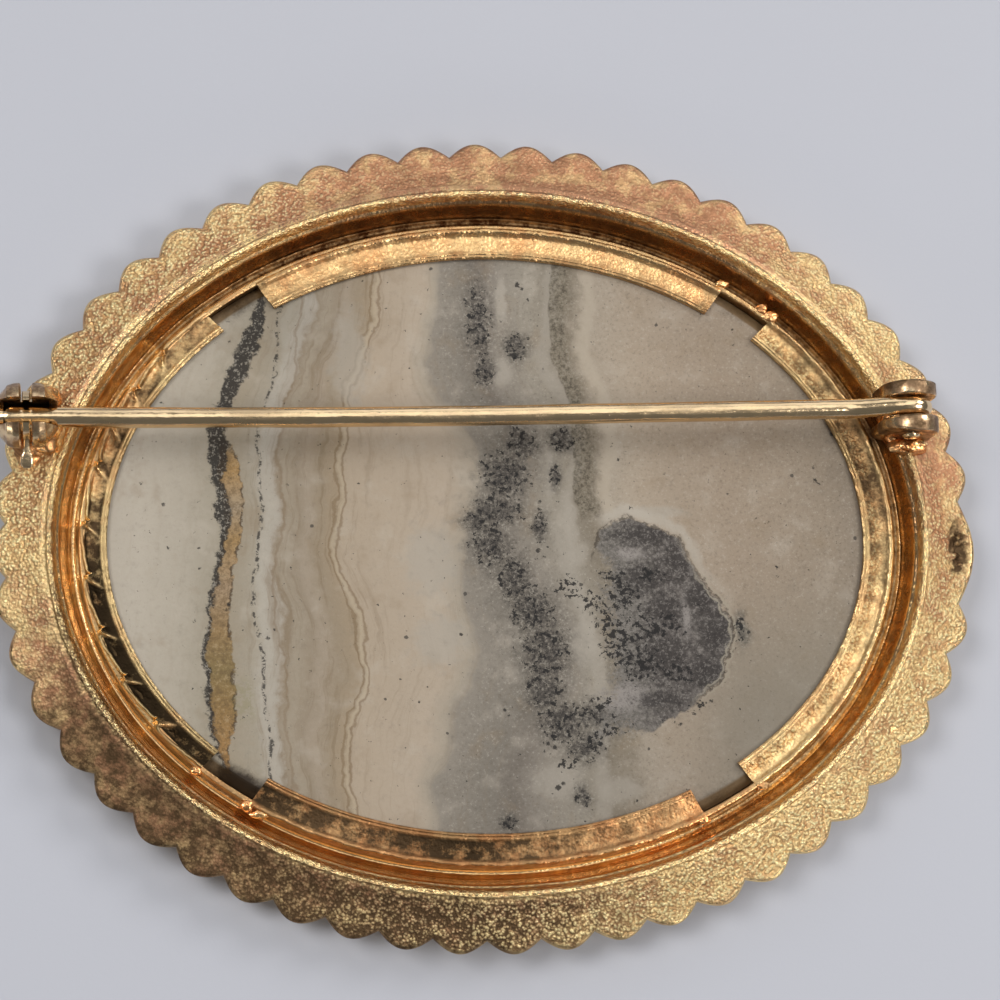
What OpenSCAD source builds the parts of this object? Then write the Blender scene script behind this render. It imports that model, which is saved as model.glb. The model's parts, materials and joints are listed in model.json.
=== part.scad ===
// Oval mosaic brooch lying on its face, with its back, pin and catch on top.
// Origin: the middle of the part's box, on the surface that it lies on.
// +Z is the back of the brooch, +X runs along the pin towards its hinge.

/* [Oval edge] */
// Half length of the oval through the valleys of the scalloped edge
half_l = 24; // [20:0.5:30]
// Half width of the oval through the valleys of the scalloped edge
half_w = 19.75; // [16:0.25:24]
// Number of lobe pitches round the edge; one lobe takes two of them
lobes = 52; // [40:1:60]
// Height of a lobe above its valleys
lobe_h = 0.65; // [0.3:0.05:0.9]
// Share of a pitch between the hinge end of the oval and the first valley
lobe_phase = 0.59; // [0:0.01:1]

/* [Frame section] */
// Height of the scalloped edge's back corner above the surface
edge_top = 2.15; // [1.8:0.05:2.4]
// Height of the scalloped edge's front corner above the surface
edge_bottom = 1.75; // [1.5:0.05:1.8]
// Inset of the crest from the valley line
crest_in = 2.2; // [2:0.05:2.3]
// Height of the crest above the surface
crest_z = 3; // [2.7:0.05:3.1]
// Height of the floor of the channel inside the crest
channel_z = 1.2; // [0.9:0.05:1.5]

/* [Bezel and tabs] */
// Inset of the ridge where the tabs fold over
ridge_in = 3.62; // [3.55:0.01:3.65]
// Height of that ridge
ridge_z = 2.1; // [2:0.05:2.3]
// Height of the cut top of the bezel strip between the tabs
strip_z = 2; // [1.8:0.05:2.1]
// Inset of the tabs' lips on the stone
lip_in = 4.95; // [4.7:0.05:5.2]
// Angle between each pair of tabs, in degrees of the oval
tab_gap = 9; // [6:1:14]

/* [Stone and mosaic] */
// Thickness of the stone plaque
stone_t = 1; // [0.8:0.05:1]
// Thickness of the mosaic panel on its face
mosaic_t = 0.5; // [0.4:0.05:0.5]
// Height of the front lip of the frame that holds the stone
seat_z = 0.7; // [0.6:0.05:0.8]
// Gap between neighbouring pieces that do not move
gap = 0.05; // [0.03:0.01:0.1]

/* [Pin] */
// Diameter of the pin stem
stem_d = 1; // [0.8:0.05:1.1]
// Height of the pin's axis above the surface
pin_z = 4.3; // [4.2:0.05:4.6]
// Distance of the pin's axis from the long axis of the oval
pin_y = 5.95; // [5:0.05:7]
// Distance of the hinge axis from the middle of the oval
hinge_x = 21; // [20.8:0.05:21.3]
// Distance of the pin's point from the middle of the oval
point_x = 25.45; // [25.2:0.05:26]
// Radius of the pin's knuckle
knuckle_r = 1.15; // [1:0.05:1.2]
// Width of the pin's knuckle
knuckle_w = 0.9; // [0.7:0.05:1]

/* [Hinge ears] */
// Radius of the ears
ear_r = 1.4; // [1.2:0.05:1.5]
// Thickness of the ear on the upper side of the pin
ear_up_t = 0.7; // [0.5:0.05:0.8]
// Thickness of the ear on the lower side of the pin
ear_low_t = 0.85; // [0.5:0.05:0.9]
// Diameter of the rivet
rivet_d = 0.56; // [0.4:0.02:0.7]

/* [Catch] */
// Diameter of the ball of the catch
ball_d = 3.24; // [3:0.02:3.4]
// Distance of the ball from the middle of the oval
ball_x = 22.8; // [22.5:0.05:23]
// Radius of the rotor's hub
hub_r = 0.8; // [0.75:0.01:0.85]
// Width of the slot between the two halves of the ball
slot_w = 0.5; // [0.45:0.01:0.6]
// Reach of the lever from the axis of the catch
lever_l = 2.55; // [2.2:0.05:2.8]
// Angle of the lever below the horizontal
lever_dip = 12; // [0:1:20]

/* [Hidden] */
$fn = 48;
// Radial clearance of the parts that turn
running = 0.05;
// Stations along each lobe of the frame, and round the stone and the mosaic
lobe_steps = 4;
oval_steps = 96;
// Length of the stretch at the end of a tab over which its section changes, in degrees
tab_end = 0.15;
// Height of the flatter double lobe at the hinge end, as a share of the others
double_lobe = 0.8;
// Angles at which the gaps between the tabs are centred
gap_angles = [48.3, 129.2, 228, 304];
// Radii of the ball, of its cavity and of the rotor's disc
ball_r = ball_d / 2;
cavity_r = hub_r + running;
disc_r = 1.2;
// Radii of the stem, of the way cut for it through the rotor and of the pin's blunt tip
stem_r = stem_d / 2;
stem_way = stem_r + 0.06;
tip_r = 0.12;
// Length of a cut that goes right through the hinge or the catch
through = 2 * ball_d;

// A point of the oval at angle t, moved inwards by an inset, at height z
function oval(t, inset, z) = [(half_l - inset) * cos(t), (half_w - inset) * sin(t), z];

// Running length of the valley line, as pairs of length and angle and the reverse
arc_steps = 360;
function arc_step(i) = norm(oval(i + 1, 0, 0) - oval(i, 0, 0));
arc = [for (i = 0, s = 0; i <= arc_steps; s = s + arc_step(i), i = i + 1) [s, i]];
arc_back = [for (p = arc) [p[1], p[0]]];
girth = arc[arc_steps][0];

// Angle at a number of lobe pitches from the hinge end, and the reverse
function pitch_angle(p) = lookup(p / lobes * girth, arc);
function angle_pitch(t) = lookup(t, arc_back) / girth * lobes;

// Height of the edge above the valley line: one arch for each lobe, a flatter one for the double lobe
function arch(p) =
    let (q = (p - lobe_phase + lobes) % lobes)
    q >= lobes - 2 ? double_lobe * sin(90 * (q - lobes + 2)) : sin(180 * (q - floor(q)));

// How much of a tab there is at angle t, from 0 in a gap to 1 on a tab
function tab_share(t) =
    let (d = min([for (g = gap_angles) min(abs(t - g), 360 - abs(t - g))]))
    max(0, min(1, (d - tab_gap / 2) / tab_end));

// Stations round the frame: the lobes' own and both sides of each tab end
lobe_stations = [for (k = [0:lobes * lobe_steps - 1])
    pitch_angle((k / lobe_steps + lobe_phase) % lobes)];
tab_stations = [for (g = gap_angles, side = [-1, 1], e = [0, tab_end])
    (g + side * (tab_gap / 2 + e) + 360) % 360];
function sorted(v) =
    len(v) < 2 ? v :
    let (
        m = v[floor(len(v) / 2)],
        low = [for (x = v) if (x < m) x],
        same = [for (x = v) if (x == m) x],
        high = [for (x = v) if (x > m) x])
    concat(sorted(low), same, sorted(high));
stations = sorted(concat(lobe_stations, tab_stations));

// One section of the frame, from the scalloped edge over the back, down inside and out over the front.
// Columns: inset on a tab, height on a tab, share of the lobes, inset in a gap, height in a gap.
lip_z = ridge_z - 0.12;
under_z = seat_z + stone_t + 2 * gap;
wall_in = ridge_in + 0.25;
seat_in = lip_in;
section_rows = [
    [0, edge_top, 1, 0, edge_top],
    [1.1, 2.45, 0.5, 1.1, 2.45],
    [crest_in - 0.25, crest_z - 0.12, 0.08, crest_in - 0.25, crest_z - 0.12],
    [crest_in, crest_z, 0, crest_in, crest_z],
    [crest_in + 0.2, crest_z - 0.08, 0, crest_in + 0.2, crest_z - 0.08],
    [crest_in + 0.55, 2.2, 0, crest_in + 0.55, 2.2],
    [crest_in + 0.85, channel_z, 0, crest_in + 0.85, channel_z],
    [ridge_in - 0.12, channel_z, 0, ridge_in - 0.12, channel_z],
    [ridge_in, ridge_z, 0, ridge_in, strip_z],
    [ridge_in + 0.7, ridge_z - 0.2, 0, ridge_in + 0.1, strip_z],
    [lip_in, lip_z, 0, wall_in, strip_z],
    [lip_in, under_z, 0, wall_in, strip_z - 0.1],
    [wall_in, under_z, 0, wall_in, under_z - 0.2],
    [wall_in, seat_z, 0, wall_in, seat_z],
    [seat_in, seat_z, 0, seat_in, seat_z],
    [seat_in - 0.1, 0.1, 0, seat_in - 0.1, 0.1],
    [3.2, 0.4, 0, 3.2, 0.4],
    [2.2, 0, 0.1, 2.2, 0],
    [0.9, 0.55, 0.6, 0.9, 0.55],
    [0, edge_bottom, 1, 0, edge_bottom]
];
function frame_point(t, row) =
    let (w = tab_share(t), lift = row[2] * lobe_h * arch(angle_pitch(t)))
    oval(t, row[0] * w + row[3] * (1 - w) - lift, row[1] * w + row[4] * (1 - w));

// The part's box runs from the pin's point to the lobes at the hinge end, and this shift centres it
edge = [for (t = stations) frame_point(t, section_rows[0])];
edge_x = [for (p = edge) p[0]];
edge_y = [for (p = edge) p[1]];
box_middle = [(max(edge_x) - point_x) / 2, (max(edge_y) + min(edge_y)) / 2, 0];
// It is rounded to a hundredth of a millimetre, so that the joints lie at round numbers
box_shift = [for (v = box_middle) -round(100 * v) / 100];

// Faces of a closed grid: rings of points joined one to the next and the last to the first
function grid_faces(rings, size) = [for (i = [0:rings - 1], j = [0:size - 1])
    let (i2 = (i + 1) % rings, j2 = (j + 1) % size, a = i * size + j, b = i * size + j2,
         c = i2 * size + j2, d = i2 * size + j)
    for (f = [[a, b, c], [a, c, d]]) f];

// The ring of the frame: scalloped flange, crest, channel, bezel strip and the four folded tabs
module frame_ring() {
    size = len(section_rows);
    points = [for (t = stations, row = section_rows) frame_point(t, row)];
    polyhedron(points, grid_faces(len(stations), size));
}

// A solid stack of ovals: each row is an inset and a height, from the bottom up
module oval_stack(rows) {
    n = oval_steps;
    top = len(rows) - 1;
    points = [for (row = rows, i = [0:n - 1]) oval(i * 360 / n, row[0], row[1])];
    side = [for (k = [0:top - 1], i = [0:n - 1])
        let (i2 = (i + 1) % n)
        [k * n + i, (k + 1) * n + i, (k + 1) * n + i2, k * n + i2]];
    base = [[for (i = [0:n - 1]) i]];
    cap = [[for (i = [n - 1:-1:0]) top * n + i]];
    polyhedron(points, concat(side, base, cap));
}

// A cylinder along Y, centred on the height and distance of the pin's axis
module along_y(r, w, y) {
    translate([hinge_x, y + w / 2, pin_z]) rotate([90, 0, 0]) cylinder(r = r, h = w);
}

// A cylinder along X through the middle of the ball
module along_x(r, w) {
    translate([-ball_x - w / 2, pin_y, pin_z]) rotate([0, 90, 0]) cylinder(r = r, h = w);
}

// A box centred on the ball in X and Y that starts at the pin's axis and goes up
module above_ball(x, y) {
    translate([-ball_x - x / 2, pin_y - y / 2, pin_z]) cube([x, y, 2 * ball_r]);
}

// One ear of the hinge: a rounded plate that stands on the crest, with the hole for the rivet
knuckle_side = knuckle_w / 2 + running;
ear_up_y = pin_y + knuckle_side + ear_up_t / 2;
ear_low_y = pin_y - knuckle_side - ear_low_t / 2;
hinge_foot_z = 2.1;
module ear(y, t) {
    along_y(ear_r, t, y);
    translate([hinge_x - ear_r, y - t / 2, hinge_foot_z]) cube([2 * ear_r, t, pin_z - hinge_foot_z]);
}

// Both ears and the solder foot between them, which clears the knuckle and runs out past the lower ear
foot_top = pin_z - knuckle_r - 0.15;
foot_back = 1.1;
foot_l = foot_back + ear_r;
foot_out = 0.3;
module hinge() {
    foot_y = ear_low_y - ear_low_t / 2 - foot_out;
    difference() {
        union() {
            ear(ear_up_y, ear_up_t);
            ear(ear_low_y, ear_low_t);
            translate([hinge_x - foot_back, foot_y, hinge_foot_z])
                cube([foot_l, ear_up_y - foot_y, foot_top - hinge_foot_z]);
        }
        along_y(rivet_d / 2 + gap, through, pin_y);
    }
}

// The ball of the catch on its foot: two halves joined below, open upwards for the pin
ball_foot_r = 1;
ball_foot_z = pin_z - 1.1;
// The foot stands a little inwards of the ball's middle, over the crest
ball_foot_in = [0.25, -0.35];
// Width of the opening over the hub, and depth of the slot below the pin's axis
hub_mouth = 1.4;
slot_below = 0.75;
module catch_shell() {
    hub_space = 2 * hub_half + 2 * running;
    difference() {
        union() {
            translate([-ball_x, pin_y, pin_z]) sphere(r = ball_r);
            translate([-ball_x + ball_foot_in[0], pin_y + ball_foot_in[1], hinge_foot_z])
                cylinder(r = ball_foot_r, h = ball_foot_z - hinge_foot_z);
        }
        along_x(cavity_r, hub_space);
        above_ball(hub_space, hub_mouth);
        along_x(stem_way + running, through);
        above_ball(through, 2 * (stem_way + running));
        along_x(disc_r + running, slot_w);
        translate([-ball_x - slot_w / 2, pin_y - ball_d, pin_z - slot_below])
            cube([slot_w, through, ball_d]);
    }
}

// The frame with the ears and the catch soldered to it, as one solid
module frame() {
    color([0.80, 0.60, 0.36]) translate(box_shift) {
        frame_ring();
        hinge();
        catch_shell();
    }
}

// The banded stone plaque, bevelled on its back edge as far as just under the tabs' lips
bevel_low = 0.6 * stone_t;
bevel_in = lip_in - 0.4;
module stone_plaque() {
    low = seat_z + gap;
    color([0.83, 0.79, 0.71]) translate(box_shift) oval_stack([
        [wall_in + gap, low],
        [wall_in + gap, low + bevel_low],
        [bevel_in, low + stone_t]
    ]);
}

// The mosaic panel on the stone's face, seen through the front of the frame, with its front edge eased
mosaic_ease = 0.1;
module mosaic_panel() {
    front = seat_z - mosaic_t;
    color([0.55, 0.60, 0.55]) translate(box_shift) oval_stack([
        [seat_in + gap + mosaic_ease, front],
        [seat_in + gap, front + mosaic_ease],
        [seat_in + gap, seat_z]
    ]);
}

// The pin: a knuckle that turns on the rivet, a straight stem and a short point
point_l = 1.8;
module pin_stem() {
    shaft_end = -point_x + point_l;
    color([0.84, 0.76, 0.52]) translate(box_shift) difference() {
        union() {
            along_y(knuckle_r, knuckle_w, pin_y);
            translate([shaft_end, pin_y, pin_z]) rotate([0, 90, 0])
                cylinder(d = stem_d, h = hinge_x - knuckle_r / 2 - shaft_end);
            translate([shaft_end, pin_y, pin_z]) rotate([0, -90, 0])
                cylinder(r1 = stem_r, r2 = tip_r, h = point_l);
        }
        along_y(rivet_d / 2 + running, through, pin_y);
    }
}

// The rivet through both ears, with a low head on each side
head_r = 0.45;
head_t = 0.15;
module hinge_rivet() {
    ears_up = ear_up_y + ear_up_t / 2;
    ears_low = ear_low_y - ear_low_t / 2;
    reach = ears_up - ears_low + 2 * gap;
    middle = (ears_up + ears_low) / 2;
    color([0.86, 0.70, 0.48]) translate(box_shift) {
        along_y(rivet_d / 2, reach, middle);
        for (side = [-1, 1]) along_y(head_r, head_t, middle + side * (reach + head_t) / 2);
    }
}

// The rotor of the catch: a hub and a disc, slotted for the pin, and the lever that turns them
hub_half = 1.1;
disc_t = slot_w - 2 * running;
paddle_w = 0.62;
paddle_l = 0.7;
lever_t = 0.36;
// A bar of the lever at the disc's middle, from one distance to another below the axis
module lever_bar(w, far, near) {
    translate([-w / 2, -far, -lever_t / 2]) cube([w, far - near, lever_t]);
}
module catch_rotor() {
    lever_root = 0.5;
    color([0.84, 0.76, 0.52]) translate(box_shift) difference() {
        union() {
            along_x(hub_r, 2 * hub_half);
            along_x(disc_r, disc_t);
            translate([-ball_x, pin_y, pin_z]) rotate([lever_dip, 0, 0]) {
                lever_bar(disc_t, lever_l - paddle_l / 2, lever_root);
                lever_bar(paddle_w, lever_l, lever_l - paddle_l);
            }
        }
        along_x(stem_way, through);
        above_ball(through, 2 * stem_way);
    }
}

frame();
stone_plaque();
mosaic_panel();
pin_stem();
hinge_rivet();
catch_rotor();
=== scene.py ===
"""Oval mosaic brooch lying on its face: every surface of it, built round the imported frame.

All shapes are worked out in millimetres, in the frame's own axes, and go into the meshes in metres.
+Z is the back of the brooch, +X runs along the pin towards its hinge.
"""
import functools
import json
import math

import bpy
import numpy as np
from mathutils import Matrix, Vector


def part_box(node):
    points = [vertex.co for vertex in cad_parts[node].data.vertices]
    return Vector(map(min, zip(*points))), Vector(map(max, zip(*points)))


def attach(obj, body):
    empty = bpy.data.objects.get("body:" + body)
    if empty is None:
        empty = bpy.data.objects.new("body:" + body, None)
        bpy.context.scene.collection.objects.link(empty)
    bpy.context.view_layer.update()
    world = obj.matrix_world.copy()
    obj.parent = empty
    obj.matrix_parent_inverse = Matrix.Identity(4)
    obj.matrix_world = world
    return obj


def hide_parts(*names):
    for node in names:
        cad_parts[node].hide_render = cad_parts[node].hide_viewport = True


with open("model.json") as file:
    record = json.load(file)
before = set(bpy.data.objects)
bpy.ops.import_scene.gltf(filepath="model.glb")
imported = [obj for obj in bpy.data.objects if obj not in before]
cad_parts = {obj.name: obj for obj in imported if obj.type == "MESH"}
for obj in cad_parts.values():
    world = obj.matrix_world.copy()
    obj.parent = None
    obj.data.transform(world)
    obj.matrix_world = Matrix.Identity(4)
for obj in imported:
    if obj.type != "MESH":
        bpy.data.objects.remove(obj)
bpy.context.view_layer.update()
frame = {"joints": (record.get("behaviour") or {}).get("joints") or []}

bl_info = {
    "name": "Oval mosaic brooch",
    "version": (1, 0, 0),
    "blender": (4, 5, 0),
    "location": "View3D > Sidebar > Brooch",
    "description": "Builds the gold, stone and glass of an oval brooch round its packed frame",
    "category": "Object",
}

MM = 0.001
TURN = 2 * math.pi


def box_of(node):
    """Lowest and highest corner of a node of the frame, in millimetres."""
    low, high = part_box(node)
    return np.array(low) / MM, np.array(high) / MM


# Insets of the frame's section from the valley line of the scalloped edge
STONE_IN = 3.92
BEVEL_IN = 4.55
LIP_IN = 4.95
RIDGE_IN = 3.62
CREST_IN = 2.2

STONE_LOW, STONE_HIGH = box_of("stone_plaque")
PANEL_LOW, PANEL_HIGH = box_of("mosaic_panel")
MIDDLE = (STONE_LOW + STONE_HIGH) / 2
HALF_L, HALF_W = (STONE_HIGH - STONE_LOW)[:2] / 2 + STONE_IN
JOINTS = {j["name"]: np.array(j["pos_m"]) / MM for j in frame["joints"]}
HINGE = JOINTS["pin_hinge"]
CATCH = JOINTS["catch_turn"]

# The scalloped edge
LOBES = 52
LOBE_PHASE = 0.59
DOUBLE_LOBE = 0.8
# Angles of the gaps between the folded tabs, and half a gap, in degrees of the oval
TAB_GAPS = (48.3, 129.2, 228.0, 304.0)
HALF_GAP = 4.5


def display(red, green, blue):
    """Linear colour of a display colour given as 0 to 255."""
    share = np.array([red, green, blue]) / 255
    return tuple(np.where(share <= 0.04045, share / 12.92, ((share + 0.055) / 1.055) ** 2.4))


# Light that a white surface facing up sends back on this stage, as a share of full white
STAGE_LIGHT = 1.20


def paint(red, green, blue):
    """Colour of a matt surface that should look like this display colour under the stage's light."""
    return tuple(min(1.0, c / STAGE_LIGHT) for c in display(red, green, blue))


def colour_prop(name, text, value):
    return bpy.props.FloatVectorProperty(
        name=name, description=text, default=value, size=3, min=0, max=1, subtype="COLOR")


def length_prop(name, text, value):
    return bpy.props.FloatProperty(
        name=name, description=text, default=value * MM, precision=5, unit="LENGTH", subtype="DISTANCE")


class BroochSizes(bpy.types.PropertyGroup):
    """Sizes of the brooch that its looks depend on"""
    half_length: length_prop("Half length", "Half length of the valley line of the edge", float(HALF_L))
    half_width: length_prop("Half width", "Half width of the valley line of the edge", float(HALF_W))
    lobe_height: length_prop("Lobe height", "Height of a lobe above its valleys", 0.65)
    grain_depth: length_prop("Grain depth", "Depth of the rough cast skin of the flange", 0.012)
    hammer_depth: length_prop("Hammer depth", "Depth of the dents in the folded tabs", 0.007)
    crimp_height: length_prop("Crimp height", "Height of the pinched creases in the left tab", 0.27)
    stem_bend: length_prop("Stem bend", "How far the pin has bent sideways in use", 0.2)
    tessera: length_prop("Tessera", "Width of one tessera of the mosaic", 0.62)


class BroochFinish(bpy.types.PropertyGroup):
    """Colours of the brooch"""
    rose: colour_prop("Rose gold", "Rosy parts of the cast frame", (0.54, 0.275, 0.155))
    yellow: colour_prop("Yellow gold", "Yellow parts of the cast frame", (0.96, 0.70, 0.34))
    # Coppery gold down in the channel: its orange is partly painted bounce light from the channel's gold
    # walls
    copper: colour_prop("Coppery gold", "Unpolished gold down in the channel", (0.88, 0.56, 0.26))
    pale: colour_prop("Pale gold", "Pin, hinge and catch", (0.88, 0.66, 0.42))
    solder: colour_prop("Solder", "Coppery solder at the findings", (0.84, 0.40, 0.16))
    tarnish: colour_prop("Tarnish", "Dark skin of age", (0.11, 0.068, 0.036))
    deep: colour_prop("Deep tarnish", "Redder skin of age down in the channel", (0.05, 0.018, 0.006))
    floor: colour_prop("Floor", "Pale surface that the brooch lies on", (0.455, 0.467, 0.52))


class BroochStage(bpy.types.PropertyGroup):
    """Where the camera stands and how bright the lights are"""
    distance: length_prop("Distance", "Distance of the camera from its aim", 140.0)
    tilt: bpy.props.FloatProperty(
        name="Tilt", description="Angle between the view and straight down",
        default=math.radians(13.32), subtype="ANGLE")
    turn: bpy.props.FloatProperty(
        name="Turn", description="Side that the camera stands on, from the front towards the right",
        default=math.radians(-37.2), subtype="ANGLE")
    roll: bpy.props.FloatProperty(
        name="Roll", description="Turn of the picture about the view",
        default=math.radians(-2.23), subtype="ANGLE")
    lens: bpy.props.FloatProperty(
        name="Lens", description="Focal length on a 36 mm sensor", default=101.2, unit="CAMERA")
    sky: bpy.props.FloatProperty(
        name="Sky", description="Brightness of the room behind the lights", default=0.14, min=0)


def settings():
    """The three groups of settings, as the Panel shows them."""
    scene = bpy.context.scene
    return scene.brooch_sizes, scene.brooch_finish, scene.brooch_stage


def in_mm(value):
    return value / MM


# Shapes that follow the oval


def oval(angles, inset, height):
    """Points of the oval at angles in degrees: an ellipse whose half axes are those of the valley line less
    the inset, round the middle of the brooch, at the height. The three arguments are arrays of one shape."""
    sizes = settings()[0]
    t = np.radians(angles)
    x = MIDDLE[0] + (in_mm(sizes.half_length) - inset) * np.cos(t)
    y = MIDDLE[1] + (in_mm(sizes.half_width) - inset) * np.sin(t)
    return np.stack(np.broadcast_arrays(x, y, height), -1)


def walked(line):
    """How far along a line of points each of them lies."""
    return np.concatenate([[0], np.cumsum(np.linalg.norm(np.diff(line, axis=0), axis=1))])


def full_turn(steps):
    """Angles in radians, spread evenly round a circle."""
    return np.arange(steps) * TURN / steps


def edge_count():
    """Whole degrees round the oval, and the running length of the valley line there, counted in lobes."""
    marks = np.arange(361)
    run = walked(oval(marks, 0.0, 0.0))
    return marks, run / run[-1] * LOBES


def lobe_arch(angles):
    """Height of the edge above the valley line, from 0 to 1: one arch of a sine for each lobe, counted by the
    running length of the valley line, and one flatter arch of double length at the hinge end."""
    q = (np.interp(np.asarray(angles) % 360, *edge_count()) - LOBE_PHASE) % LOBES
    double = DOUBLE_LOBE * np.sin(math.pi / 2 * (q - LOBES + 2))
    return np.where(q >= LOBES - 2, double, np.sin(math.pi * (q % 1)))


# How the gold's age shows round the brooch, with painted shade and painted glints: angle, how rosy the flange
# is, the tarnish of the flange, of the channel and of the tabs, how far the flange's rough skin runs over the
# strip below the crest, and how clear the flange's grain is. The tarnish of the flange and of the tabs is
# partly painted shade, heaviest on the south-west side; how clear the grain is also sets how strong its
# painted glints are, weaker on the north side.
AGE = np.array((
    (0, 0.50, 0.00, 0.65, 0.65, 1.0, 0.85),
    (12, 0.90, 0.20, 0.70, 0.75, 0.8, 0.25),
    (20, 0.45, 0.10, 0.75, 0.70, 0.6, 0.60),
    (30, 0.05, 0.00, 0.70, 0.60, 0.7, 0.80),
    (48, 0.50, 0.05, 0.75, 0.35, 0.5, 0.60),
    (60, 1.00, 0.20, 0.78, 0.22, 0.2, 0.18),
    (90, 1.00, 0.22, 0.88, 0.00, 0.3, 0.20),
    (108, 0.90, 0.18, 0.85, 0.12, 0.2, 0.30),
    (122, 0.35, 0.02, 0.82, 0.32, 0.1, 0.85),
    (150, 0.42, 0.12, 0.40, 0.88, 0.3, 1.00),
    (180, 0.02, 0.00, 0.25, 0.90, 0.6, 1.00),
    (196, 0.50, 0.32, 0.20, 1.20, 0.6, 0.35),
    (208, 0.70, 0.80, 0.15, 1.20, 0.6, 0.06),
    (230, 0.70, 0.85, 0.15, 1.00, 0.8, 0.12),
    (245, 0.60, 0.86, 0.15, 0.85, 1.0, 0.35),
    (265, 0.45, 0.80, 0.02, 0.98, 0.7, 0.65),
    (285, 0.15, 0.30, 0.06, 0.70, 0.9, 0.90),
    (300, 0.00, 0.00, 0.50, 0.28, 0.8, 1.00),
    (330, 0.00, 0.00, 0.45, 0.25, 0.8, 0.90),
    (345, 0.25, 0.00, 0.55, 0.40, 1.0, 0.90),
    (360, 0.50, 0.00, 0.65, 0.65, 1.0, 0.85)))
ROSY, FLANGE_AGE_AND_SHADE, CHANNEL_AGE, TAB_AGE_AND_SHADE, ROUGH_STRIP, GRAIN_AND_GLINT = AGE[:, 1:].T


def aged(angles, column):
    """One column of the table of age, painted shade and painted glints round the brooch, between its rows, at
    angles in degrees.
    """
    return np.interp(np.asarray(angles) % 360, AGE[:, 0], column)


def waves(points, size, seed, count=20):
    """Smooth random field, mostly from -1 to 1: the mean of plane waves in all directions, about `size`
    millimetres long, with a phase of their own each."""
    rng = np.random.default_rng(seed)
    way = rng.normal(size=(count, 3))
    way /= np.linalg.norm(way, axis=1, keepdims=True)
    way *= (TURN / size * rng.uniform(0.7, 1.5, count))[:, None]
    return np.sin(points @ way.T + rng.uniform(0, TURN, count)).sum(-1) / math.sqrt(count)


def wave_sum(points, *rows):
    """Sum of smooth random fields: each row is a field's share, its size, its seed and its count of waves."""
    return sum(share * waves(points, *row) for share, *row in rows)


def hump(distance, width):
    """A smooth hill: one over a distance of nothing, and nothing past about twice the width."""
    return np.exp(-(distance / width) ** 2)


def rising(value, start, length):
    """Nothing up to a start, then a straight rise to one over a length."""
    return np.clip((value - start) / length, 0, 1)


def turn_between(angles, centre):
    """Signed difference of angles in degrees, from -180 to 180."""
    return (np.asarray(angles) - centre + 180) % 360 - 180


WALK = 0.005


def eased(corners, ease):
    """Closed outline through the corners, with its corners rounded. The outline is walked in small even
    steps, each point becomes the mean of its neighbours within the ease, twice over, and points are then kept
    as far apart as the last column says. The first two columns are the place."""
    corners = np.asarray(corners, float)
    closed = np.vstack([corners, corners[:1]])
    run = walked(closed[:, :2])
    walk = np.linspace(0, run[-1], round(run[-1] / WALK), endpoint=False)
    line = np.stack([np.interp(walk, run, column) for column in closed.T], 1)
    span = np.zeros(len(walk))
    reach = max(1, round(ease / WALK))
    span[:reach] = 1 / reach
    pull = np.fft.fft(span)[:, None]
    line = np.fft.ifft(np.fft.fft(line, axis=0) * np.abs(pull) ** 2, axis=0).real
    kept = np.concatenate([[0], np.cumsum(WALK / line[:, -1])])
    picks = np.linspace(0, kept[-1], round(kept[-1]), endpoint=False)
    at = np.interp(picks, kept, np.arange(len(kept)))
    closed_line = np.vstack([line, line[:1]])
    return np.stack([np.interp(at, np.arange(len(closed_line)), c) for c in closed_line.T], 1)[:, :-1]


def grid_quads(rings, size, closed_rings=True, closed_size=True):
    """Corner numbers of the four-sided faces of a grid of rings of points."""
    i = np.arange(rings if closed_rings else rings - 1)[:, None]
    j = np.arange(size if closed_size else size - 1)[None]
    after_i, after_j = (i + 1) % rings, (j + 1) % size
    corners = [i * size + j, i * size + after_j, after_i * size + after_j, after_i * size + j]
    return np.stack(np.broadcast_arrays(*corners), -1).reshape(-1, 4)


def grid_normals(points):
    """Unit normals of a grid of points that is closed both ways: the cross product of its two slopes."""
    along = np.roll(points, -1, 0) - np.roll(points, 1, 0)
    across = np.roll(points, -1, 1) - np.roll(points, 1, 1)
    normal = np.cross(along, across)
    return normal / np.maximum(np.linalg.norm(normal, axis=-1, keepdims=True), 1e-9)


def swept_volume(points, faces):
    """Signed volume inside closed faces: each face's fan of triangles with the origin."""
    total = 0.0
    for group in faces:
        first = points[group[:, 0]]
        for k in range(1, group.shape[1] - 1):
            total += np.einsum("ij,ij->", first, np.cross(points[group[:, k]], points[group[:, k + 1]]))
    return total


class Solid:
    """A closed shape: points in millimetres, groups of faces with the same number of corners, and values that
    go with the points."""

    def __init__(self, points, faces, **values):
        self.points = np.asarray(points, float).reshape(-1, 3)
        self.faces = [np.asarray(group, int) for group in faces]
        if swept_volume(self.points - self.points.mean(0), self.faces) < 0:
            self.faces = [group[:, ::-1] for group in self.faces]
        self.values = {k: np.broadcast_to(np.ravel(v), len(self.points)) for k, v in values.items()}


def joined(solids):
    """Several solids as one, each with its own points."""
    start, faces = 0, []
    for solid in solids:
        faces += [group + start for group in solid.faces]
        start += len(solid.points)
    names = set().union(*(solid.values for solid in solids))
    whole = Solid.__new__(Solid)
    whole.points = np.concatenate([solid.points for solid in solids])
    whole.faces = faces
    whole.values = {
        n: np.concatenate([s.values.get(n, np.zeros(len(s.points))) for s in solids]) for n in names}
    return whole


def tube_solid(points, **values):
    """A grid of closed rings, shut by a face at each end."""
    rings, size = points.shape[:2]
    caps = [np.arange(size)[None, ::-1], (np.arange(size) + (rings - 1) * size)[None]]
    return Solid(points, [grid_quads(rings, size, closed_rings=False), *caps], **values)


# The two axes that go round each axis
OTHER_AXES = ((1, 2), (2, 0), (0, 1))


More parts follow.
